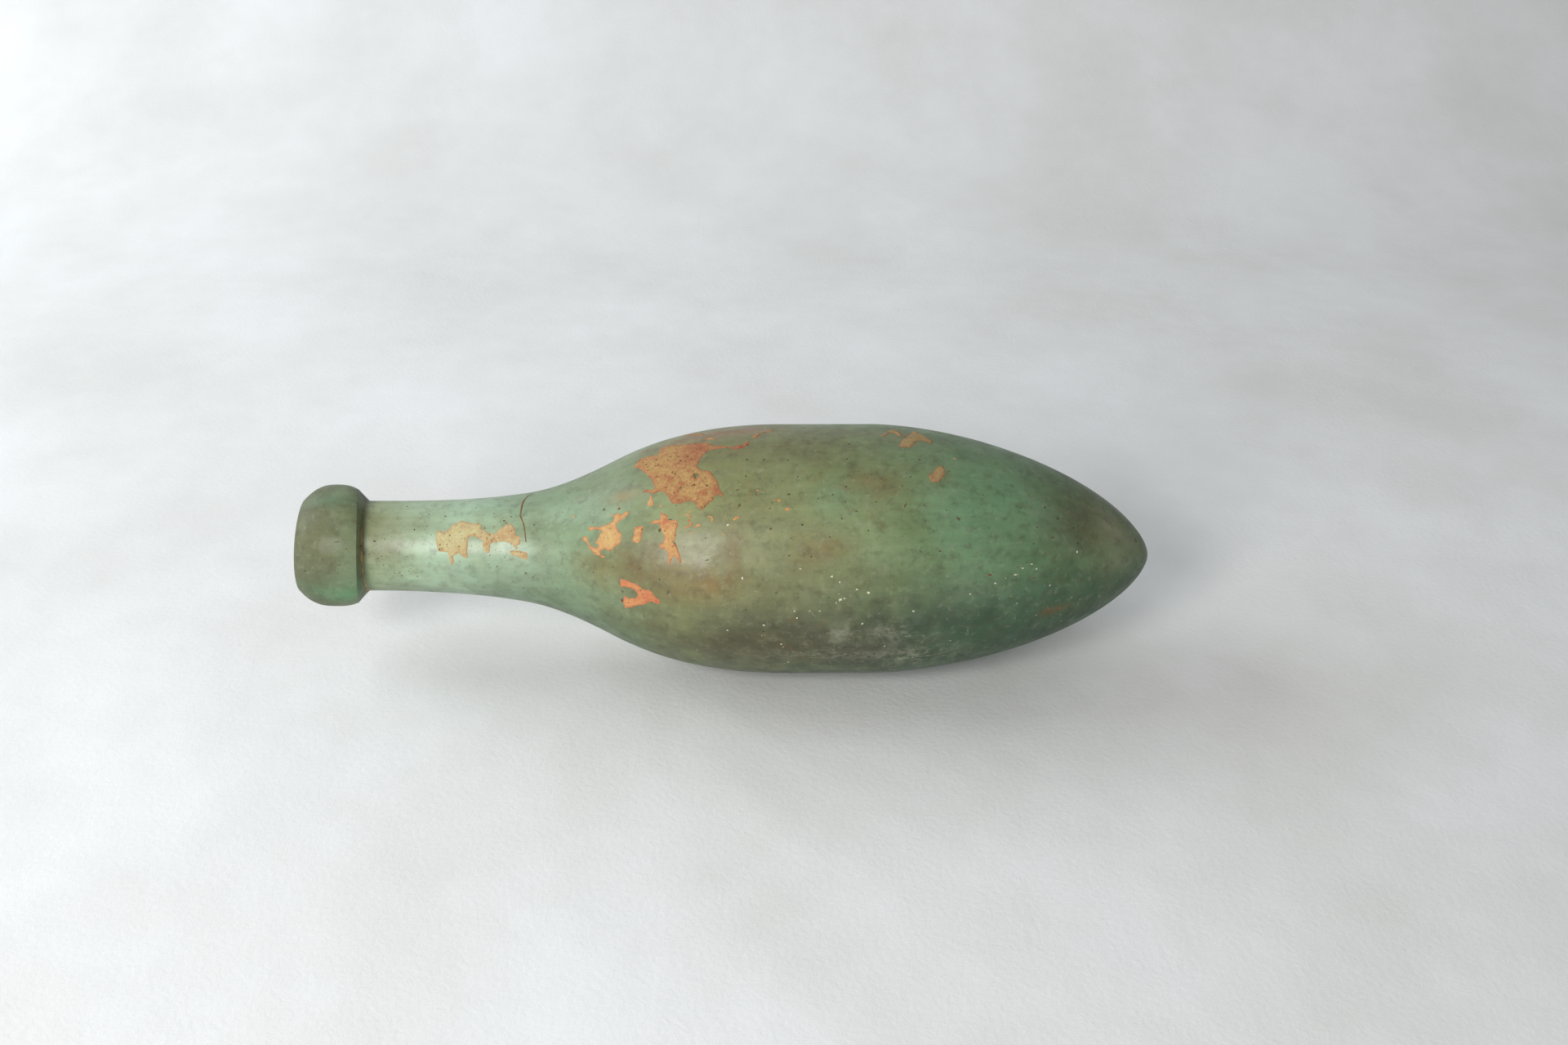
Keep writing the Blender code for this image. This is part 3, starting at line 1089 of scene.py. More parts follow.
        # Lay the stains and the painted shade over the long tones.
        for tinted_patch in (*STAINS_AND_PAINTED_SHADE, *self.hidden_stains()):
            share = np.clip(self.cover(tinted_patch, along, around) * patchy, 0, 1)
            share = np.where(outer, share, 0.0)[:, None]
            tint = tint * (1 - share) + np.array(tinted_patch.tone.linear()) * share
        from_joint = (along - self.form.neck_start) / self.joint_rust_reach
        add_values(piece.data, "tint", tint)
        kinds = (
            # The lime holds one painted highlight too, on the belly.
            ("lime", 0.0, LIME_AND_HIGHLIGHT_BLOOMS, 0.0),
            ("grime", self.plain_grime, GRIME_BLOOMS, 0.0),
            ("rust", self.joint_rust * np.exp(-0.5 * from_joint**2), (), 0.0),
            ("worn", 0.0, WORN_BLOOMS, self.worn_inside),
        )
        for name, plain, blooms, inside in kinds:
            amount = plain + sum(self.cover(bloom, along, around) for bloom in blooms)
            add_values(piece.data, name, np.where(outer, np.clip(amount, 0, 1), inside))

    def build(self) -> bpy.types.Object:
        """Make the finished glass."""
        piece = self.draw_profile()
        piece.name = "bottle_glass"
        piece.data.name = "bottle_glass"
        self.turn(piece)
        self.lay_down(piece)
        self.cut_flat_spot(piece)
        smooth(piece, self.sharp_angle)
        bpy.context.view_layer.update()
        self.piece = piece
        self.paint(piece)
        piece.data.materials.clear()
        piece.data.materials.append(self.finish.material())
        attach(piece, BODY)
        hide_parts("bottle")
        return piece


# Crusts, threads and specks on the glass

OCHRE = CrustFinish(
    "ochre_crust", Tone(186, 152, 96), Tone(156, 118, 70), Tone(150, 78, 56), 0.65, 1.0
)
PALE_ORANGE = CrustFinish(
    "pale_orange_crust", Tone(198, 170, 114), Tone(184, 146, 90), Tone(178, 106, 70), 0.35, 0.4
)
PEACH = CrustFinish(
    "peach_crust", Tone(204, 176, 114), Tone(188, 144, 88), Tone(172, 92, 64), 0.50, 0.5
)
RED_ORANGE = CrustFinish(
    "red_orange_crust", Tone(206, 156, 98), Tone(192, 128, 82), Tone(182, 96, 68), 0.50, 0.6
)
CREAM = CrustFinish(
    "cream_crust", Tone(202, 196, 154), Tone(184, 170, 116), Tone(176, 128, 86), 0.40, 0.6
)
DULL_OCHRE = CrustFinish(
    "dull_ochre_crust", Tone(176, 156, 108), Tone(150, 126, 80), Tone(150, 98, 66), 0.35, 0.5
)
JOINT_RUST = CrustFinish(
    "joint_rust", Tone(220, 190, 136), Tone(196, 160, 106), Tone(176, 118, 76), 0.4, 0.5
)
RUST = CrustFinish(
    "rust_crust", Tone(146, 118, 76), Tone(116, 88, 54), Tone(98, 62, 40), 0.5, 0.6
)


@dataclass(frozen=True)
class Blush:
    """A redder place on a crust, with its reach in millimetres."""

    place: Place
    reach: float
    strength: float = 1.0


@dataclass(frozen=True)
class Crust:
    """A thin crust: its ragged outline on the glass, its finish, and its sizes in millimetres.

    Where it has widths, it is a thread, and its outline is the line that it runs along.
    """

    name: str
    outline: tuple[Place, ...]
    finish: CrustFinish
    thickness: float = 0.14
    cell: float = 0.17
    raggedness: float = 0.17
    holes: tuple[tuple[Place, float], ...] = ()
    blushes: tuple[Blush, ...] = ()
    rim_reach: float = 0.55
    widths: tuple[float, ...] = ()
    seed: int = 1


def thread(
    name: str,
    line: tuple[Place, ...],
    widths: tuple[float, ...],
    finish: CrustFinish,
    raggedness: float,
    seed: int,
) -> Crust:
    """A crust along a line, thinner and finer than the others."""
    sizes = {"thickness": 0.08, "cell": 0.16, "rim_reach": 0.3}
    return Crust(name, line, finish, raggedness=raggedness, widths=widths, seed=seed, **sizes)


def inside_outline(points: np.ndarray, outline: np.ndarray) -> np.ndarray:
    """Which points are inside a closed outline.

    Args:
        points: points, one a row.
        outline: corners of the outline, one a row.

    Returns:
        True for each point inside.
    """
    inside = np.zeros(len(points), bool)
    for (ax, ay), (bx, by) in zip(outline, np.roll(outline, -1, axis=0)):
        if ay == by:
            continue
        crossing = (ay > points[:, 1]) != (by > points[:, 1])
        place = ax + (points[:, 1] - ay) * (bx - ax) / (by - ay)
        inside ^= crossing & (points[:, 0] < place)
    return inside


def nearest_on_outline(
    points: np.ndarray, outline: np.ndarray
) -> tuple[np.ndarray, np.ndarray]:
    """The nearest place on a closed outline to each point.

    Args:
        points: points, one a row.
        outline: corners of the outline, one a row.

    Returns:
        The distance of each point from the outline, and the nearest places on it.
    """
    best = np.full(len(points), np.inf)
    nearest = points.copy()
    for corner, following in zip(outline, np.roll(outline, -1, axis=0)):
        edge = following - corner
        length = float(edge @ edge)
        if length == 0.0:
            continue
        share = np.clip((points - corner) @ edge / length, 0, 1)
        place = corner + share[:, None] * edge
        distance = np.linalg.norm(points - place, axis=1)
        closer = distance < best
        best = np.where(closer, distance, best)
        nearest[closer] = place[closer]
    return best, nearest


@dataclass
class CrustMaker:
    """Makes crusts as thin closed shells that lie on the glass."""

    glass: GlassBottle
    rooted: float = 0.00012
    clearance: float = 0.00001
    edge_step: float = 0.00022
    coarse_fray: float = 0.0011
    fine_fray: float = 0.0004
    fine_fray_share: float = 0.7
    rim_pull: float = 0.9
    rim_rise: float = 0.0003
    unevenness: float = 0.35
    uneven_size: float = 0.0007
    smooth_angle: float = 60.0
    materials: dict[str, bpy.types.Material] = field(default_factory=dict)

    def material(self, finish: Union[CrustFinish, DirtFinish]) -> bpy.types.Material:
        """The material of a finish, made once."""
        if finish.name not in self.materials:
            self.materials[finish.name] = finish.material()
        return self.materials[finish.name]

    def flat(self, places: Sequence[Place]) -> tuple[np.ndarray, Spot, float]:
        """Places on the glass, rolled out flat.

        Args:
            places: the places.

        Returns:
            Their flat coordinates along and around in metres, the spot at their middle, and the
            radius there.
        """
        spots = [self.glass.spot(place) for place in places]
        along = np.array([spot.along for spot in spots])
        around = np.radians([spot.around for spot in spots])
        middle = Spot(*(0.5 * float(part.min() + part.max()) for part in (along, around)))
        radius = float(self.glass.form.outer_radius(np.array([middle.along]))[0])
        rolled = [along - middle.along, (around - middle.around) * radius]
        return np.stack(rolled, 1), middle, radius

    def flat_place(self, place: Place, middle: Spot, radius: float) -> np.ndarray:
        """The flat coordinates of one place, counted from a crust's middle."""
        spot = self.glass.spot(place)
        turn = math.radians(spot.around) - middle.around
        return np.array([spot.along - middle.along, turn * radius])

    def fray(self, outline: np.ndarray, raggedness: float, seed: int) -> np.ndarray:
        """The outline with short edges that wander in and out.

        Args:
            outline: corners, one a row.
            raggedness: how far they wander, in metres.
            seed: seed of the wandering.

        Returns:
            The corners of the ragged outline.
        """
        corners = []
        for corner, following in zip(outline, np.roll(outline, -1, axis=0)):
            edge = following - corner
            length = float(np.linalg.norm(edge))
            count = max(1, round(length / self.edge_step))
            side = np.array([-edge[1], edge[0]]) / max(length, 1e-9)
            for part in range(count):
                place = corner + edge * part / count
                coarse = ragged(place, self.coarse_fray, seed)
                fine = self.fine_fray_share * ragged(place, self.fine_fray, seed + 3)
                corners.append(place + side * raggedness * (coarse + fine))
        return np.array(corners)

    def cloth(
        self, outline: np.ndarray, holes: Sequence[tuple[float, float, float]], cell: float
    ) -> bpy.types.Object:
        """A flat grid trimmed to an outline.

        Args:
            outline: corners of the outline, one a row.
            holes: centre and radius of each hole.
            cell: size of the grid's faces.

        Returns:
            The trimmed grid, still flat.
        """
        low, high = outline.min(0) - cell, outline.max(0) + cell
        size = high - low
        counts = np.maximum(2, np.ceil(size / cell)).astype(int)
        deselect_everything()
        bpy.ops.mesh.primitive_grid_add(
            x_subdivisions=int(counts[0]), y_subdivisions=int(counts[1]), size=1.0
        )
        piece = bpy.context.active_object
        points = get_points(piece.data)
        points[:, :2] = points[:, :2] * size + 0.5 * (low + high)
        set_points(piece.data, points)
        centres = np.array([face.center[:2] for face in piece.data.polygons])
        keep = inside_outline(centres, outline)
        for x, y, radius in holes:
            keep &= np.hypot(centres[:, 0] - x, centres[:, 1] - y) > radius
        work_on(piece)
        with editing():
            bpy.ops.mesh.select_mode(type="FACE")
        piece.data.polygons.foreach_set("select", ~keep)
        with editing(everything=False):
            bpy.ops.mesh.delete(type="FACE")
            bpy.ops.mesh.select_mode(type="VERT")
        return piece

    def trim_edge(self, piece: bpy.types.Object, outline: np.ndarray, cell: float) -> None:
        """Pull the grid's stepped edge onto the outline."""
        mesh = piece.data
        uses: dict[tuple[int, int], int] = {}
        for face in mesh.polygons:
            for key in face.edge_keys:
                uses[key] = uses.get(key, 0) + 1
        rim = sorted({corner for key, count in uses.items() if count == 1 for corner in key})
        points = get_points(mesh)
        distance, nearest = nearest_on_outline(points[rim, :2], outline)
        close = distance < self.rim_pull * cell
        points[np.array(rim)[close], :2] = nearest[close]
        set_points(mesh, points)

    def lay_on_glass(
        self,
        piece: bpy.types.Object,
        outline: np.ndarray,
        middle: Spot,
        radius: float,
        crust: Crust,
    ) -> None:
        """Wrap the flat crust round the glass, thin at its rim.

        Args:
            piece: the flat, trimmed grid.
            outline: the outline it was trimmed to.
            middle: the spot its flat coordinates start from, with its angle in radians.
            radius: the radius its flat coordinates were rolled out with.
            crust: what it is.
        """
        points = get_points(piece.data)
        distance, _ = nearest_on_outline(points[:, :2], outline)
        rough = np.array([ragged(point, self.uneven_size, crust.seed + 5) for point in points])
        lift = crust.thickness * MM * (1 - np.exp(-distance / self.rim_rise))
        lift = lift * (1 + self.unevenness * rough) + self.clearance
        along = middle.along + points[:, 0]
        around = middle.around + points[:, 1] / radius
        set_points(piece.data, self.glass.form.above_skin(along, around, lift))
        add_values(piece.data, "rim", np.exp(-distance / (crust.rim_reach * MM)))
        blush = np.zeros(len(points))
        for spot in crust.blushes:
            centre = self.flat_place(spot.place, middle, radius)
            far = np.linalg.norm(points[:, :2] - centre, axis=1) / (0.5 * spot.reach * MM)
            blush = np.maximum(blush, spot.strength * np.exp(-0.5 * far**2))
        add_values(piece.data, "blush", blush)

    def close(self, piece: bpy.types.Object) -> None:
        """Give the crust its underside, rooted in the glass, and turn its faces outwards."""
        side = -1.0 if self.faces_outward(piece) else 1.0
        apply_modifier(piece, "SOLIDIFY", thickness=self.rooted, offset=side)
        point_outwards(piece)
        smooth(piece, self.smooth_angle)

    def faces_outward(self, piece: bpy.types.Object) -> bool:
        """Whether the wrapped grid's faces point away from the bottle's axis."""
        face = piece.data.polygons[len(piece.data.polygons) // 2]
        along, _, _ = self.glass.form.straighten(np.array([face.center]))
        axis = self.glass.form.lay(along, 0 * along, 0 * along)[0]
        return face.normal.dot(face.center - Vector(axis)) > 0

    def finish_piece(
        self, piece: bpy.types.Object, name: str, finish: Union[CrustFinish, DirtFinish]
    ) -> None:
        """Name and dress a piece, and let it ride with the glass."""
        piece.name = name
        piece.data.name = name
        piece.data.materials.clear()
        piece.data.materials.append(self.material(finish))
        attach(piece, BODY)

    def ribbon(self, crust: Crust) -> tuple[np.ndarray, Spot, float]:
        """The outline of a thread, rolled out flat, as flat() gives it."""
        line, middle, radius = self.flat(crust.outline)
        stations = np.linspace(0, 1, len(crust.widths))
        widths = np.interp(np.linspace(0, 1, len(line)), stations, crust.widths)
        ways = np.gradient(line, axis=0)
        ways /= np.linalg.norm(ways, axis=1)[:, None] + 1e-12
        side = np.stack([-ways[:, 1], ways[:, 0]], axis=1) * (0.5 * MM * widths)[:, None]
        return np.concatenate([line + side, (line - side)[::-1]]), middle, radius

    def make(self, crust: Crust) -> bpy.types.Object:
        """One crust or thread as a piece."""
        flat = self.ribbon(crust) if crust.widths else self.flat(crust.outline)
        corners, middle, radius = flat
        outline = self.fray(corners, crust.raggedness * MM, crust.seed)
        holes = [
            (*self.flat_place(place, middle, radius), reach * MM) for place, reach in crust.holes
        ]
        piece = self.cloth(outline, holes, crust.cell * MM)
        self.trim_edge(piece, outline, crust.cell * MM)
        self.lay_on_glass(piece, outline, middle, radius, crust)
        self.close(piece)
        self.finish_piece(piece, crust.name, crust.finish)
        return piece


SHOULDER_CRUST = Crust(
    "crust_shoulder",
    pixels(
        (776, 572), (784, 562), (795, 558.5), (806, 557), (808.5, 550), (818, 546), (833, 545),
        (845, 543), (857, 543), (863, 541), (868, 543), (875, 546), (885, 546), (894.5, 547),
        (905, 546), (910, 544), (916, 540), (919, 542), (915, 546), (908, 549), (899, 551),
        (894.5, 548.5), (884, 549), (874, 550.6), (867, 552), (862, 557), (858, 561), (856, 566),
        (853, 570.6), (856, 574), (861, 576), (869, 576.6), (873, 581.5), (875, 585), (879, 591),
        (881, 597), (884, 604.5), (887, 613), (888, 616), (884, 608), (879, 606), (875, 609),
        (871.5, 614), (867, 617), (864, 621.5), (859, 624), (854.5, 622), (852, 617), (847, 614),
        (840, 613.6), (835, 616), (828, 617), (823, 616.6), (821, 613), (817, 607), (813, 603),
        (808.5, 602), (801, 604), (794, 604), (787, 603), (791.5, 600), (799, 600), (802, 596),
        (800, 591), (795, 584), (789, 578), (783, 574), (778, 573),
    ),
    OCHRE,
    thickness=0.16,
    cell=0.2,
    raggedness=0.28,
    holes=((Pixel(852.7, 582.7), 0.75), (Pixel(834, 598), 0.4)),
    blushes=(
        Blush(Pixel(855, 549), 6.0),
        Blush(Pixel(846, 560), 4.5, 0.9),
        Blush(Pixel(830, 567), 4.0, 0.5),
        Blush(Pixel(880, 600), 3.0, 0.9),
        Blush(Pixel(905, 547), 5.0, 1.0),
        Blush(Pixel(790, 602), 3.0, 0.9),
        Blush(Pixel(830, 616), 2.5, 0.8),
        Blush(Pixel(781, 575), 3.0, 0.6),
    ),
    seed=11,
)

LEFT_CRUST = Crust(
    "crust_front_left",
    pixels(
        (769, 625), (771, 629), (766, 633), (760, 637), (756, 641), (755, 644), (757, 650),
        (761, 654), (761, 659), (760, 666), (755, 668.5), (752, 671), (748, 675), (745, 675),
        (742, 673), (738.5, 673), (735, 676), (735, 679), (737, 681), (741, 682), (740, 683.5),
        (736, 682), (733, 680), (729, 679.5), (725, 676), (721, 670), (719, 664.5), (714, 662),
        (713, 659), (716, 657), (720, 657.6), (720, 662), (723, 668), (728, 671), (731, 671),
        (733, 668.5), (729, 665), (733, 659), (734, 655), (737, 652.5), (737, 650), (731, 648.5),
        (722, 650), (720, 648), (722, 645), (729, 645.6), (738, 645), (741, 643), (748, 640),
        (752, 637), (752, 633.5), (748, 631), (748, 629), (752, 631), (757, 628), (760, 631),
        (764, 628),
    ),
    PALE_ORANGE, seed=23,
)

SMALL_CRUST = Crust(
    "crust_front_middle",
    pixels(
        (777, 646), (783, 645), (788, 644), (787, 650), (785.5, 654), (786, 659), (784, 664),
        (780, 665), (773.5, 663), (775, 659), (777, 655), (776, 650),
    ),
    PEACH, seed=31,
)

RIGHT_CRUST = Crust(
    "crust_front_right",
    pixels(
        (809, 628), (813, 629), (819, 633.5), (818, 636), (824, 637), (829, 637), (830, 643),
        (828, 649), (827, 656), (826, 664), (830, 672), (832, 680), (834, 690), (832, 689),
        (830, 685), (826, 681), (822, 685), (820, 692), (818, 691.5), (818, 683.5), (819, 679),
        (816, 674), (813, 672), (808, 672), (807, 666), (812, 664.5), (814, 660.5), (813, 655),
        (810, 650), (808.5, 644), (808.5, 641), (803, 641.6), (796, 640), (800, 637.6),
        (808, 636), (809, 632),
    ),
    PEACH,
    blushes=(Blush(Pixel(817, 640), 3.2, 0.9), Blush(Pixel(824, 674), 3.0, 0.5)),
    seed=37,
)

LOWER_CRUST = Crust(
    "crust_front_lower",
    pixels(
        (760, 709), (765, 710), (770, 712), (775, 714.5), (780, 716), (784, 719), (787, 722),
        (795, 723), (799, 725), (800, 728), (803, 732), (808, 735), (808, 740), (803, 739),
        (798, 737), (793, 738), (791, 740), (785, 741), (778, 742), (772, 744), (768, 744),
        (766, 745.5), (763, 739), (764, 734), (766, 729), (768, 732), (773.5, 733), (779, 732),
        (781, 729), (780, 726), (777, 722), (771, 720), (764, 718.5), (760, 718.5),
    ),
    RED_ORANGE,
    blushes=(
        Blush(Pixel(764, 714), 4.0, 0.8),
        Blush(Pixel(790, 731), 4.0, 0.9),
        Blush(Pixel(804, 737), 2.0, 0.9),
    ),
    seed=41,
)

NECK_CRUST = Crust(
    "crust_neck",
    pixels(
        (535, 651), (539, 650), (543, 652), (549, 649), (552.5, 645), (558, 641), (565, 638),
        (572, 640), (579, 641.5), (586, 641), (590, 643), (589, 647), (593, 650), (596.5, 652),
        (601, 653.5), (606, 654), (609, 651), (612, 648), (617, 645), (620, 642), (626, 642),
        (629.5, 645), (631, 652), (631, 655), (636, 657), (638, 661), (637, 666), (633, 668),
        (634, 672), (631, 672), (628, 667), (623, 664), (616, 663), (610, 663.5), (604, 664),
        (600, 667), (600, 674), (599, 677), (596, 677), (593, 674), (591, 669), (591, 663),
        (587, 659), (581, 657), (574.5, 657), (573, 663), (572.6, 670), (572, 676), (573, 683),
        (570, 684), (565, 680), (562, 677), (558, 679), (555, 682), (556, 687), (555, 691),
        (552, 691), (551, 687), (550, 682), (548, 676), (542, 676), (536, 674), (534, 666),
        (534, 658),
    ),
    CREAM,
    blushes=(
        Blush(Pixel(612, 658), 6.0, 0.8),
        Blush(Pixel(628, 652), 4.5, 0.8),
        Blush(Pixel(598, 668), 3.5, 0.8),
        Blush(Pixel(566, 676), 4.0, 0.5),
    ),
    seed=43,
)

NECK_BIT = Crust(
    "crust_neck_bit",
    pixels(
        (624, 675.5), (628, 674), (634, 674.5), (640, 676), (645, 677), (646, 685), (643, 686),
        (639, 683), (633, 682), (627, 680),
    ),
    CREAM, raggedness=0.12, cell=0.18,
    blushes=(Blush(Pixel(642, 681), 3.0, 0.9),),
    seed=47,
)

TOP_CRUST = Crust(
    "crust_top",
    pixels(
        (1100, 547), (1103, 542), (1106, 538), (1112, 535), (1115, 532), (1118, 528),
        (1122, 529), (1126, 531), (1130.5, 533), (1135, 536), (1139, 538), (1142, 541),
        (1141, 544), (1139, 543), (1135, 541), (1130, 540), (1125, 539.5), (1122, 541),
        (1119, 544), (1116, 547), (1114, 548), (1107, 548), (1103, 547),
    ),
    DULL_OCHRE, raggedness=0.12, cell=0.22, seed=53,
)

TOP_LEFT_CRUST = Crust(
    "crust_top_left",
    pixels(
        (1078, 533), (1083, 532), (1087, 529), (1091, 526), (1097.5, 527), (1103, 530.5),
        (1105, 534), (1101, 535), (1098, 532), (1094, 530.5), (1089.5, 530), (1086, 533),
        (1080.5, 534.6),
    ),
    DULL_OCHRE, seed=59,
)

ROUND_CRUST = Crust(
    "crust_round",
    pixels(
        (1136, 578), (1139, 581), (1143, 580.5), (1144, 576), (1147.5, 573), (1151, 570),
        (1155, 572), (1157, 576), (1157, 581), (1154, 586), (1149, 589.5), (1145, 591),
        (1140, 589.5), (1138, 585),
    ),
    DULL_OCHRE, raggedness=0.14, cell=0.2,
    blushes=(Blush(Pixel(1140, 586), 2.5, 0.7),),
    seed=61,
)

DRIP = Crust(
    "crust_drip",
    pixels(
        (793, 615), (795, 613), (796, 607), (798, 606), (799, 612), (801, 615), (800, 619),
        (796, 620.5), (793, 619),
    ),
    PALE_ORANGE, raggedness=0.06, cell=0.16, seed=67,
)

BACK_CRUST = Crust(
    "crust_back",
    (
        Spot(0.112, 158.0), Spot(0.118, 152.0), Spot(0.127, 154.0), Spot(0.134, 160.0),
        Spot(0.131, 168.0), Spot(0.138, 176.0), Spot(0.133, 184.0), Spot(0.124, 181.0),
        Spot(0.118, 187.0), Spot(0.113, 180.0), Spot(0.115, 171.0), Spot(0.109, 165.0),
    ),
    OCHRE, raggedness=1.1, cell=0.26,
    holes=((Spot(0.123, 170.0), 1.1), (Spot(0.129, 163.0), 0.7), (Spot(0.118, 178.0), 0.6)),
    blushes=(Blush(Spot(0.130, 178.0), 9.0, 0.8), Blush(Spot(0.114, 162.0), 6.0, 0.6)),
    seed=71,
)

BACK_SMALL_CRUST = Crust(
    "crust_back_small",
    (
        Spot(0.168, 204.0), Spot(0.173, 200.0), Spot(0.179, 203.0), Spot(0.181, 210.0),
        Spot(0.176, 215.0), Spot(0.170, 212.0),
    ),
    PALE_ORANGE, raggedness=0.6, cell=0.24, seed=73,
)

CRUSTS = (
    SHOULDER_CRUST, LEFT_CRUST, SMALL_CRUST, RIGHT_CRUST, LOWER_CRUST, NECK_CRUST, NECK_BIT,
    TOP_CRUST, TOP_LEFT_CRUST, ROUND_CRUST, DRIP, BACK_CRUST, BACK_SMALL_CRUST,
)

THREADS = (
    thread(
        "rust_hairline",
        pixels(
            (653.6, 604), (646, 608), (641, 614), (639, 621), (637, 632), (641, 641), (643, 653),
            (644, 664),
        ),
        (0.32, 0.4, 0.55, 0.55, 0.36, 0.32, 0.32, 0.3),
        RUST, raggedness=0.04, seed=3,
    ),
    thread(
        "rust_joint",
        tuple(Spot(0.0180, float(angle)) for angle in range(-62, 63, 6)),
        (0.6, 0.5, 0.35, 0.45, 0.5, 0.3, 0.15),
        JOINT_RUST, raggedness=0.22, seed=4,
    ),
    thread(
        "crust_curl_left",
        pixels(
            (839, 630), (843, 631), (846, 633), (843.5, 638), (846, 641), (845, 644), (842, 645),
            (837, 647),
        ),
        (0.3, 0.6, 0.4, 0.35, 0.7, 0.5, 0.4, 0.3),
        PALE_ORANGE, raggedness=0.05, seed=5,
    ),
    thread(
        "crust_curl_right",
        pixels((866.5, 632), (871, 633.5), (872.5, 636), (871, 639.5)),
        (0.3, 0.5, 0.45, 0.3),
        PALE_ORANGE, raggedness=0.05, seed=6,
    ),
    thread(
        "crust_curl_low",
        pixels((850, 646), (854, 643.6), (858, 643)),
        (0.3, 0.7, 0.5),
        PEACH, raggedness=0.05, seed=7,
    ),
    thread(
        "crust_strip_upper",
        pixels((838, 534), (846, 532.6), (855, 532), (864, 532.6)),
        (0.9, 1.8, 1.7, 0.6),
        OCHRE, raggedness=0.2, seed=8,
    ),
    thread(
        "crust_strip_lower",
        pixels((862, 538), (869, 537.4), (877, 538)),
        (0.3, 1.0, 0.4),
        PEACH, raggedness=0.15, seed=9,
    ),
    thread(
        "crust_tail_left",
        pixels((921, 537), (926, 534), (930, 530.5)),
        (0.7, 1.6, 0.6),
        OCHRE, raggedness=0.3, seed=10,
    ),
    thread(
        "crust_tail_right",
        pixels((934, 530), (941, 528.6), (947, 528)),
        (0.5, 1.3, 0.4),
        OCHRE, raggedness=0.3, seed=12,
    ),
)


@dataclass(frozen=True)
class Speck:
    """A speck on the glass: its place, its length, width and height in millimetres, its turn."""

    place: Place
    length: float
    width: float
    height: float = 0.08
    turn: float = 0.0


@dataclass(frozen=True)
class SpeckGroup:
    """Specks of one kind, placed ones and seeded ones, which make one piece."""

    name: str
    finish: DirtFinish
    placed: tuple[Speck, ...]
    scattered: int
    sizes: tuple[float, float]
    fields: tuple[tuple[float, float, float, float, float], ...]
    seed: int
    height: float = 0.05


DARK_DIRT = DirtFinish("dark_dirt", Tone(108, 98, 66), Tone(78, 74, 52))
LIME_DIRT = DirtFinish("lime_dirt", Tone(222, 220, 200), Tone(184, 182, 158))
BROWN_DIRT = DirtFinish("brown_dirt", Tone(140, 92, 54), Tone(98, 58, 34))
ORANGE_DIRT = DirtFinish("orange_dirt", Tone(226, 160, 96), Tone(198, 118, 70))


def specks(*rows: tuple[float, ...], height: float = 0.08) -> tuple[Speck, ...]:
    """Rows of pixel, length, width and, where it isn't 0, turn as specks of one height."""
    return tuple(Speck(Pixel(*row[:2]), *row[2:4], height, *row[4:]) for row in rows)


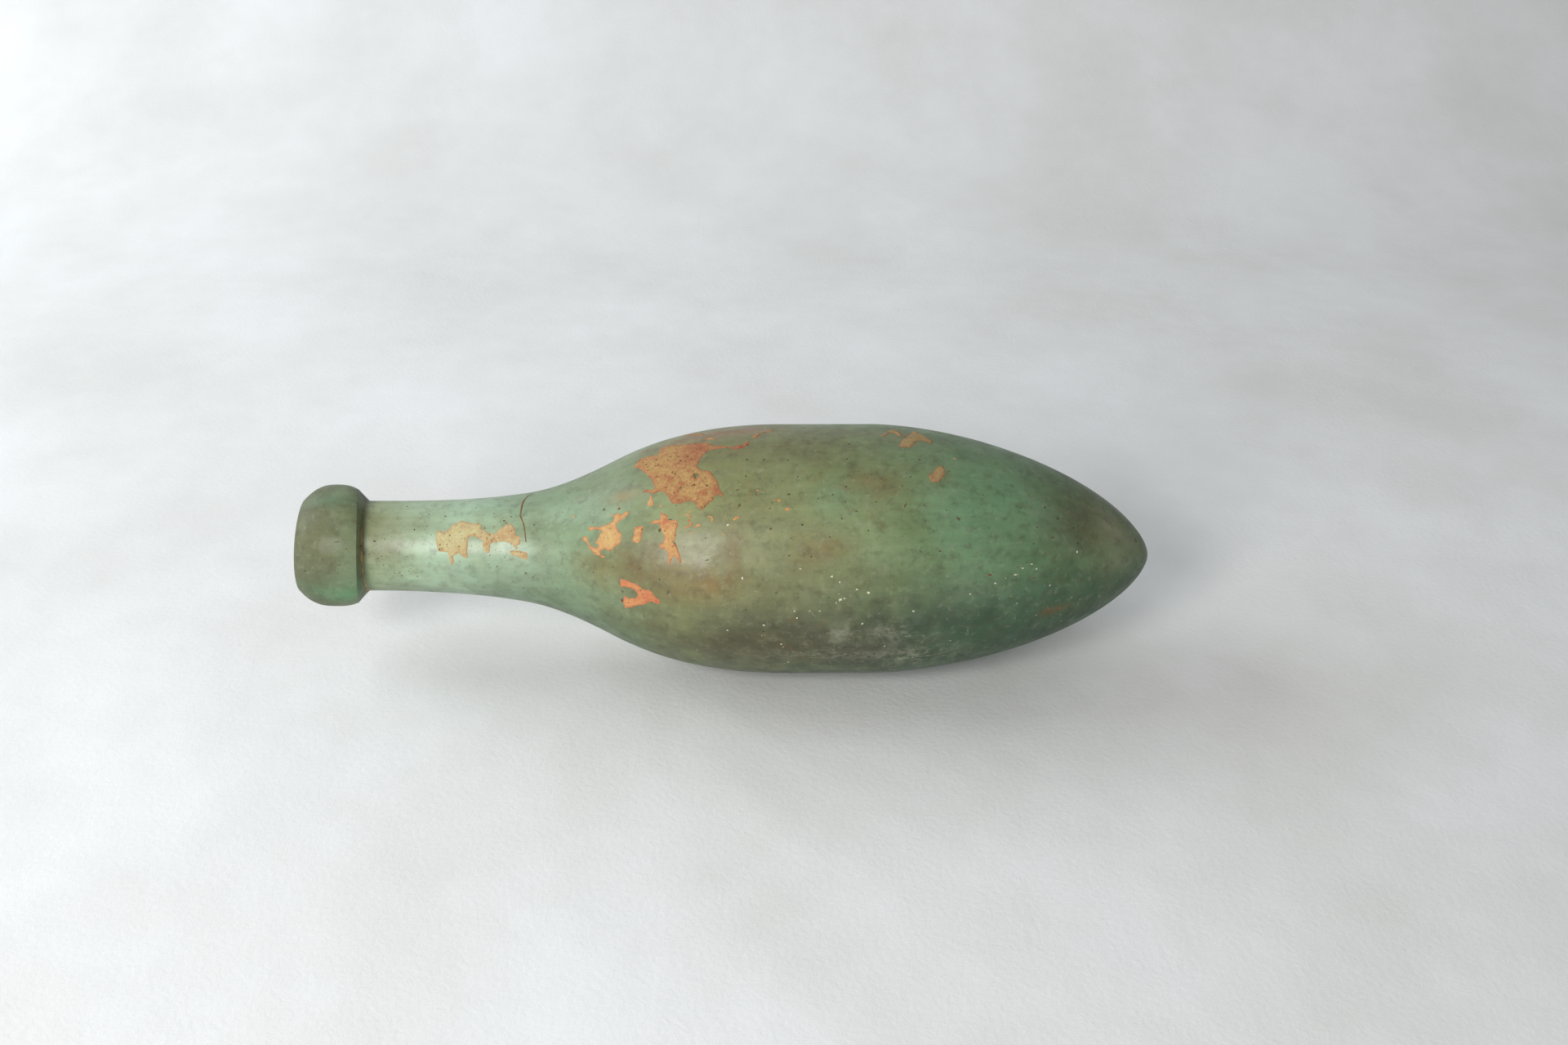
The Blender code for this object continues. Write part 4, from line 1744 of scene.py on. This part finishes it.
PITS = SpeckGroup(
    "dirt_pits",
    DARK_DIRT,
    specks(
        (739.6, 624, 1.0, 0.9), (817.7, 726, 1.7, 0.7, 60), (784, 696, 0.9, 0.3, 20),
        (762.6, 725, 1.0, 0.5, 80), (808, 649.6, 1.2, 0.8, 70), (866.5, 686, 1.3, 0.35, 10),
        (864, 659, 0.7, 0.5), (842, 733, 0.5, 0.4), (725, 753.5, 0.7, 0.4), (915, 563, 0.8, 0.7),
        (936, 563, 1.1, 0.8), (964.5, 564, 0.9, 0.7, 30), (930, 586.6, 0.6, 0.4),
        (903, 600, 1.4, 0.4, 15), (926, 605.7, 1.2, 0.4, 110), (905, 620, 1.4, 0.8, 70),
        (943, 622.7, 0.5, 0.5), (977, 584, 0.5, 0.4), (958, 589, 0.5, 0.4), (966, 605.5, 0.8, 0.6),
        (1051.7, 577, 0.6, 0.5), (1079, 585, 0.6, 0.5), (1104.5, 595, 0.7, 0.5),
        (1108.4, 619, 1.6, 0.5, 60), (1072.7, 614.7, 0.7, 0.6), (1035, 614.7, 0.6, 0.6),
        (1048.7, 626, 0.7, 0.5), (1019.6, 606, 0.5, 0.5), (943.8, 647.6, 0.9, 0.7),
        (1125, 563, 1.2, 0.8, 20), (1162, 577.5, 0.7, 0.5), (1016.5, 657.6, 0.6, 0.5),
        (1040, 544, 0.7, 0.5), (1037.5, 562, 0.6, 0.5), (1002, 611, 0.5, 0.4),
        (1173, 635, 1.2, 0.9), (968, 659, 0.5, 0.4), (1151, 675, 0.9, 0.6, 30),
        (1270, 645.6, 0.8, 0.5), (1265.7, 666, 0.7, 0.5), (1289, 658.6, 0.9, 0.7),
        (1391, 662.5, 0.8, 0.5), (1394, 697.7, 0.8, 0.5), (1280, 678, 0.6, 0.4),
        (1202, 557, 0.6, 0.5), (1239, 595, 0.6, 0.4), (498.6, 620.6, 0.7, 0.5),
        (545.6, 632.4, 0.5, 0.4), (458.6, 663, 0.8, 0.5), (471, 660, 0.6, 0.4),
        (492, 705, 0.5, 0.4), (511, 706, 0.5, 0.4), (583, 622, 0.6, 0.4), (617.6, 638, 0.8, 0.6),
        (626, 633, 0.7, 0.5), (653, 707, 0.7, 0.4), (593.7, 647, 0.5, 0.5), (654, 643, 0.6, 0.4),
        (373.7, 699, 0.8, 0.5), (424, 672, 0.8, 0.5, 30), (412, 664, 1.4, 0.25, 10),
        (407, 690, 0.3, 1.2), (414, 692, 1.4, 0.25, 5),
    )
    + specks(
        (812.5, 642, 1.3, 0.6, 80), (815, 638.5, 0.9, 0.5, 30), (820, 636.6, 1.5, 0.35, 5),
        (824.5, 671, 0.8, 0.6), (826, 665, 0.5, 0.5), (822, 677, 0.5, 0.3, 40),
        (853, 578.5, 0.9, 0.6, 10), (851, 585, 0.7, 0.5, 50), (866, 588, 0.6, 0.5),
        (860, 596, 0.5, 0.4), (846, 590, 0.6, 0.3, 20), (870, 600, 0.5, 0.4),
        (836, 599, 0.7, 0.4, 15), (857, 606, 0.5, 0.4), (874, 590, 0.5, 0.4), (841, 574, 0.5, 0.4),
        (852, 560, 0.5, 0.3, 30), (863, 612, 0.5, 0.4),
        height=0.30,
    ),
    scattered=120,
    sizes=(0.10, 0.34),
    fields=(
        (0.020, 0.060, -30, 70, 1.0),
        (0.085, 0.190, 0, 120, 3.0),
        (0.120, 0.200, -55, 0, 1.2),
        (0.190, 0.229, -40, 100, 1.2),
        (0.020, 0.225, 120, 300, 3.0),
    ),
    seed=101,
)

LIME_SPECKS = SpeckGroup(
    "lime_specks",
    LIME_DIRT,
    specks(
        (890.7, 643, 1.0, 0.5, 20), (909, 708, 0.5, 0.9), (980, 697, 0.5, 0.5),
        (1019, 706, 0.7, 0.6), (1028, 713, 0.6, 0.6), (1063.6, 726, 0.8, 0.6),
        (1029, 735, 1.1, 0.9), (1034, 733, 0.7, 0.5), (1024, 738, 0.6, 0.5), (1049, 722, 0.6, 0.5),
        (935, 766, 0.7, 0.6), (976, 757, 0.8, 0.6), (890.7, 772, 0.6, 0.5), (1056, 764, 0.7, 0.6),
        (1118.7, 748.6, 0.8, 0.6), (965.6, 811, 0.8, 0.5), (956.7, 789, 0.6, 0.5),
        (1004, 748.6, 0.6, 0.5), (972.7, 748.6, 0.5, 0.5), (1319, 676, 0.7, 0.6),
        (1263, 691, 0.8, 0.5), (1252, 696, 0.7, 0.5), (1269, 697, 0.7, 0.5), (1243, 704, 0.8, 0.5),
        (1219, 714.5, 0.6, 0.5), (1188, 727.5, 0.6, 0.5), (906, 593.5, 0.4, 0.4),
    ),
    scattered=380,
    sizes=(0.12, 0.40),
    fields=(
        (0.125, 0.180, -48, -8, 9.0),
        (0.180, 0.215, -40, 20, 2.0),
        (0.100, 0.180, 0, 60, 1.0),
        (0.020, 0.225, 120, 300, 2.0),
    ),
    seed=103,
)

BROWN_SPECKS = SpeckGroup(
    "brown_specks",
    BROWN_DIRT,
    specks(
        (758, 623, 1.3, 0.8), (1212, 704, 1.2, 0.7), (1285, 748, 1.6, 0.6, 20),
        (1297, 745, 1.8, 0.5, 20), (1265.7, 708, 0.8, 0.5), (1324, 711, 0.9, 0.5),
        (452, 723, 1.4, 1.0, 60), (609, 694, 0.6, 0.5), (644, 702, 0.7, 0.5),
        (1032, 536, 1.8, 0.3, 10), (442, 668, 0.8, 0.9, 90), (762, 735, 0.8, 1.6),
    ),
    scattered=60,
    sizes=(0.2, 0.5),
    fields=(
        (0.060, 0.110, -30, 90, 1.0),
        (0.110, 0.228, -50, 110, 1.5),
        (0.020, 0.225, 120, 300, 1.5),
    ),
    seed=107,
)

ORANGE_SPECKS = SpeckGroup(
    "orange_specks",
    ORANGE_DIRT,
    specks(
        (954, 613, 1.3, 1.0), (948, 612, 0.6, 0.4), (964.5, 624, 1.3, 0.8), (845, 627, 0.8, 0.5),
        (846, 653, 0.6, 0.5), (901, 635, 1.3, 0.8, 30), (905, 633, 0.7, 0.8), (928, 601, 0.9, 0.4),
        (1169, 562, 1.0, 0.6), (809, 620, 0.8, 0.5), (702, 633, 0.6, 0.8), (886, 654, 0.5, 0.5),
    ),
    scattered=0,
    sizes=(0.2, 0.5),
    fields=((0.100, 0.150, 130, 220, 1.0),),
    seed=109,
)

NECK_PITS = SpeckGroup(
    "neck_pits",
    DirtFinish("neck_dirt", Tone(134, 118, 76), Tone(84, 76, 50)),
    specks((452, 679, 0.5, 0.4), (463, 684, 0.6, 0.3, 20), (620, 641, 0.7, 0.5)),
    scattered=120,
    sizes=(0.12, 0.5),
    fields=(
        (0.0185, 0.0330, -8, 22, 4.0),
        (0.0200, 0.0420, 22, 45, 1.5),
        (0.0520, 0.0640, 20, 60, 1.5),
    ),
    seed=113,
    height=0.03,
)

SPECK_GROUPS = (PITS, NECK_PITS, LIME_SPECKS, BROWN_SPECKS, ORANGE_SPECKS)


@dataclass
class SpeckMaker:
    """Makes groups of specks, each group one piece, from copies of one flattened grain."""

    maker: CrustMaker
    grain_radius: float = 0.5
    evenness: float = 0.9
    unevenness: float = 0.5
    width_shares: tuple[float, float] = (0.5, 1.0)
    turns: tuple[float, float] = (0, 180)
    tip_margin: float = 0.0004
    least_radius: float = 0.004
    smooth_angle: float = 80.0

    def grain(self) -> bpy.types.Object:
        """One small round grain of about unit size; each copy is made uneven where it is placed."""
        deselect_everything()
        bpy.ops.mesh.primitive_ico_sphere_add(subdivisions=1, radius=self.grain_radius)
        return bpy.context.active_object

    def scatter(self, group: SpeckGroup) -> list[Speck]:
        """The group's seeded specks, spread over its fields of the glass."""
        draw = random.Random(group.seed)
        weights = [row[4] for row in group.fields]
        scattered = []
        for _ in range(group.scattered):
            low, high, under, upper, _ = draw.choices(group.fields, weights)[0]
            spot = Spot(draw.uniform(low, high), draw.uniform(under, upper))
            size = group.sizes[0] + (group.sizes[1] - group.sizes[0]) * draw.random() ** 2
            width, turn = size * draw.uniform(*self.width_shares), draw.uniform(*self.turns)
            scattered.append(Speck(spot, size, width, group.height, turn))
        return scattered

    def place(self, grain: np.ndarray, speck: Speck, draw: random.Random) -> np.ndarray:
        """The grain's points, stretched, turned and laid on the glass as a speck.

        Args:
            grain: points of the plain grain, one a row.
            speck: where it goes and how large it is.
            draw: the group's own random draws, for an uneven outline.

        Returns:
            The points of the speck.
        """
        spot = self.maker.glass.spot(speck.place)
        turn = math.radians(speck.turn)
        reach = self.unevenness
        uneven = np.array([self.evenness + draw.uniform(-reach, reach) for _ in grain])
        across = grain[:, 0] * speck.length * MM * uneven
        down = grain[:, 1] * speck.width * MM * uneven
        flat_along = across * math.cos(turn) - down * math.sin(turn)
        flat_around = across * math.sin(turn) + down * math.cos(turn)
        along = np.full(len(grain), spot.along) + flat_along
        radius = float(self.maker.glass.form.outer_radius(np.array([spot.along]))[0])
        around = math.radians(spot.around) + flat_around / max(radius, self.least_radius)
        lift = grain[:, 2] * speck.height * MM
        along = np.minimum(along, self.maker.glass.form.overall_length - self.tip_margin)
        return self.maker.glass.form.above_skin(along, around, lift)

    def make(self, group: SpeckGroup) -> bpy.types.Object:
        """A group of specks as one piece."""
        draw = random.Random(group.seed + 1)
        plain = self.grain()
        grain = get_points(plain.data)
        copies = []
        for speck in (*group.placed, *self.scatter(group)):
            points = self.place(grain, speck, draw)
            if points[:, 2].min() < 0.0:
                continue
            copy = plain.copy()
            copy.data = plain.data.copy()
            bpy.context.scene.collection.objects.link(copy)
            set_points(copy.data, points)
            copies.append(copy)
        bpy.data.objects.remove(plain, do_unlink=True)
        deselect_everything()
        for copy in copies:
            copy.select_set(True)
        bpy.context.view_layer.objects.active = copies[0]
        bpy.ops.object.join()
        piece = bpy.context.active_object
        point_outwards(piece)
        smooth(piece, self.smooth_angle)
        self.maker.finish_piece(piece, group.name, group.finish)
        return piece


# The studio


@dataclass(frozen=True)
class Lamp:
    """A soft rectangular light."""

    name: str
    place: tuple[float, float, float]
    target: tuple[float, float, float]
    size: tuple[float, float]
    power: float
    tone: tuple[float, float, float] = (1.0, 1.0, 1.0)

    def add(self) -> None:
        """Add the light, turned towards its target."""
        data = bpy.data.lights.new(self.name, "AREA")
        data.shape = "RECTANGLE"
        data.size, data.size_y = self.size
        data.energy = self.power
        data.color = self.tone
        light = bpy.data.objects.new(self.name, data)
        light.location = self.place
        way = Vector(self.target) - Vector(self.place)
        light.rotation_euler = way.to_track_quat("-Z", "Y").to_euler()
        bpy.context.scene.collection.objects.link(light)


@dataclass
class Studio:
    """A pale sheet that curves up behind the bottle, and soft daylight from the front left."""

    finish: SheetFinish = SheetFinish()
    half_width: float = 2.2
    front: float = -2.2
    bend_start: float = 0.60
    wall_height: float = 1.2
    bend_rounding: float = 0.30
    bend_segments: int = 24
    wall_lean: float = 0.02
    level: float = 1e-6
    smooth_angle: float = 60.0
    window: Lamp = Lamp(
        "window", (-0.42, -0.72, 0.46), (0.0, 0.0, 0.03), (0.30, 0.46), 6.75, (1.0, 0.99, 0.97)
    )
    side: Lamp = Lamp(
        "side_daylight", (-0.95, 0.30, 0.62), (-0.25, 0.35, 0.0), (0.8, 0.8), 8.0, (0.90, 0.96, 1.0)
    )
    daylight: float = 0.27
    daylight_tone: tuple[float, float, float] = (0.96, 0.97, 0.985)

    def add_sheet(self) -> None:
        """The sheet: a plane whose back edge is drawn up into a wall, with a round bend."""
        deselect_everything()
        bpy.ops.mesh.primitive_plane_add(size=2.0, location=(0, 0, 0))
        sheet = bpy.context.active_object
        sheet.name = "pale_sheet"
        bpy.ops.object.mode_set(mode="EDIT")
        bpy.ops.mesh.select_all(action="DESELECT")
        bpy.ops.object.mode_set(mode="OBJECT")
        for vertex in sheet.data.vertices:
            back = vertex.co.y > 0
            vertex.co.x *= self.half_width
            vertex.co.y = self.bend_start if back else self.front
            vertex.select = back
        for edge in sheet.data.edges:
            edge.select = all(sheet.data.vertices[i].select for i in edge.vertices)
        rise = (0.0, self.wall_lean, self.wall_height)
        with editing(everything=False):
            bpy.ops.mesh.extrude_region_move(TRANSFORM_OT_translate={"value": rise})
        for edge in sheet.data.edges:
            ends = [sheet.data.vertices[i].co for i in edge.vertices]
            edge.select = all(abs(end.z) < self.level and end.y > 0 for end in ends)
        for vertex in sheet.data.vertices:
            vertex.select = abs(vertex.co.z) < self.level and vertex.co.y > 0
        for face in sheet.data.polygons:
            face.select = False
        with editing(everything=False):
            bpy.ops.mesh.bevel(offset=self.bend_rounding, segments=self.bend_segments)
        smooth(sheet, self.smooth_angle)
        sheet.data.materials.append(self.finish.material())

    def add_daylight(self) -> None:
        """Even pale light from all round."""
        world = bpy.data.worlds.new("daylight")
        world.use_nodes = True
        background = world.node_tree.nodes["Background"]
        background.inputs["Color"].default_value = (*self.daylight_tone, 1.0)
        background.inputs["Strength"].default_value = self.daylight
        bpy.context.scene.world = world

    def build(self) -> None:
        """Set up the sheet, the lights and the tones of the picture."""
        self.add_sheet()
        self.window.add()
        self.side.add()
        self.add_daylight()
        bpy.context.scene.view_settings.view_transform = "Standard"
        bpy.context.scene.view_settings.look = "None"


def report(piece: bpy.types.Object) -> None:
    """Log a finished piece with its size and its number of triangles."""
    piece.data.calc_loop_triangles()
    size = tuple(round(1000 * side, 1) for side in piece.dimensions)
    LOG.info("%s: %s mm, %d triangles", piece.name, size, len(piece.data.loop_triangles))


def write_sizes() -> None:
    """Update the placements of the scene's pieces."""
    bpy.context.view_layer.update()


def main() -> None:
    """Build the bottle, its crusts and its dirt, and the studio around them."""
    logging.basicConfig(level=logging.INFO, format="%(name)s %(message)s")
    view = PhotoView()
    view.add_camera()
    glass = GlassBottle(BottleForm(), view)
    report(glass.build())
    maker = CrustMaker(glass)
    for crust in (*CRUSTS, *THREADS):
        report(maker.make(crust))
    dust = SpeckMaker(maker)
    for group in SPECK_GROUPS:
        report(dust.make(group))
    Studio().build()
    write_sizes()


if __name__ == "__main__":
    main()
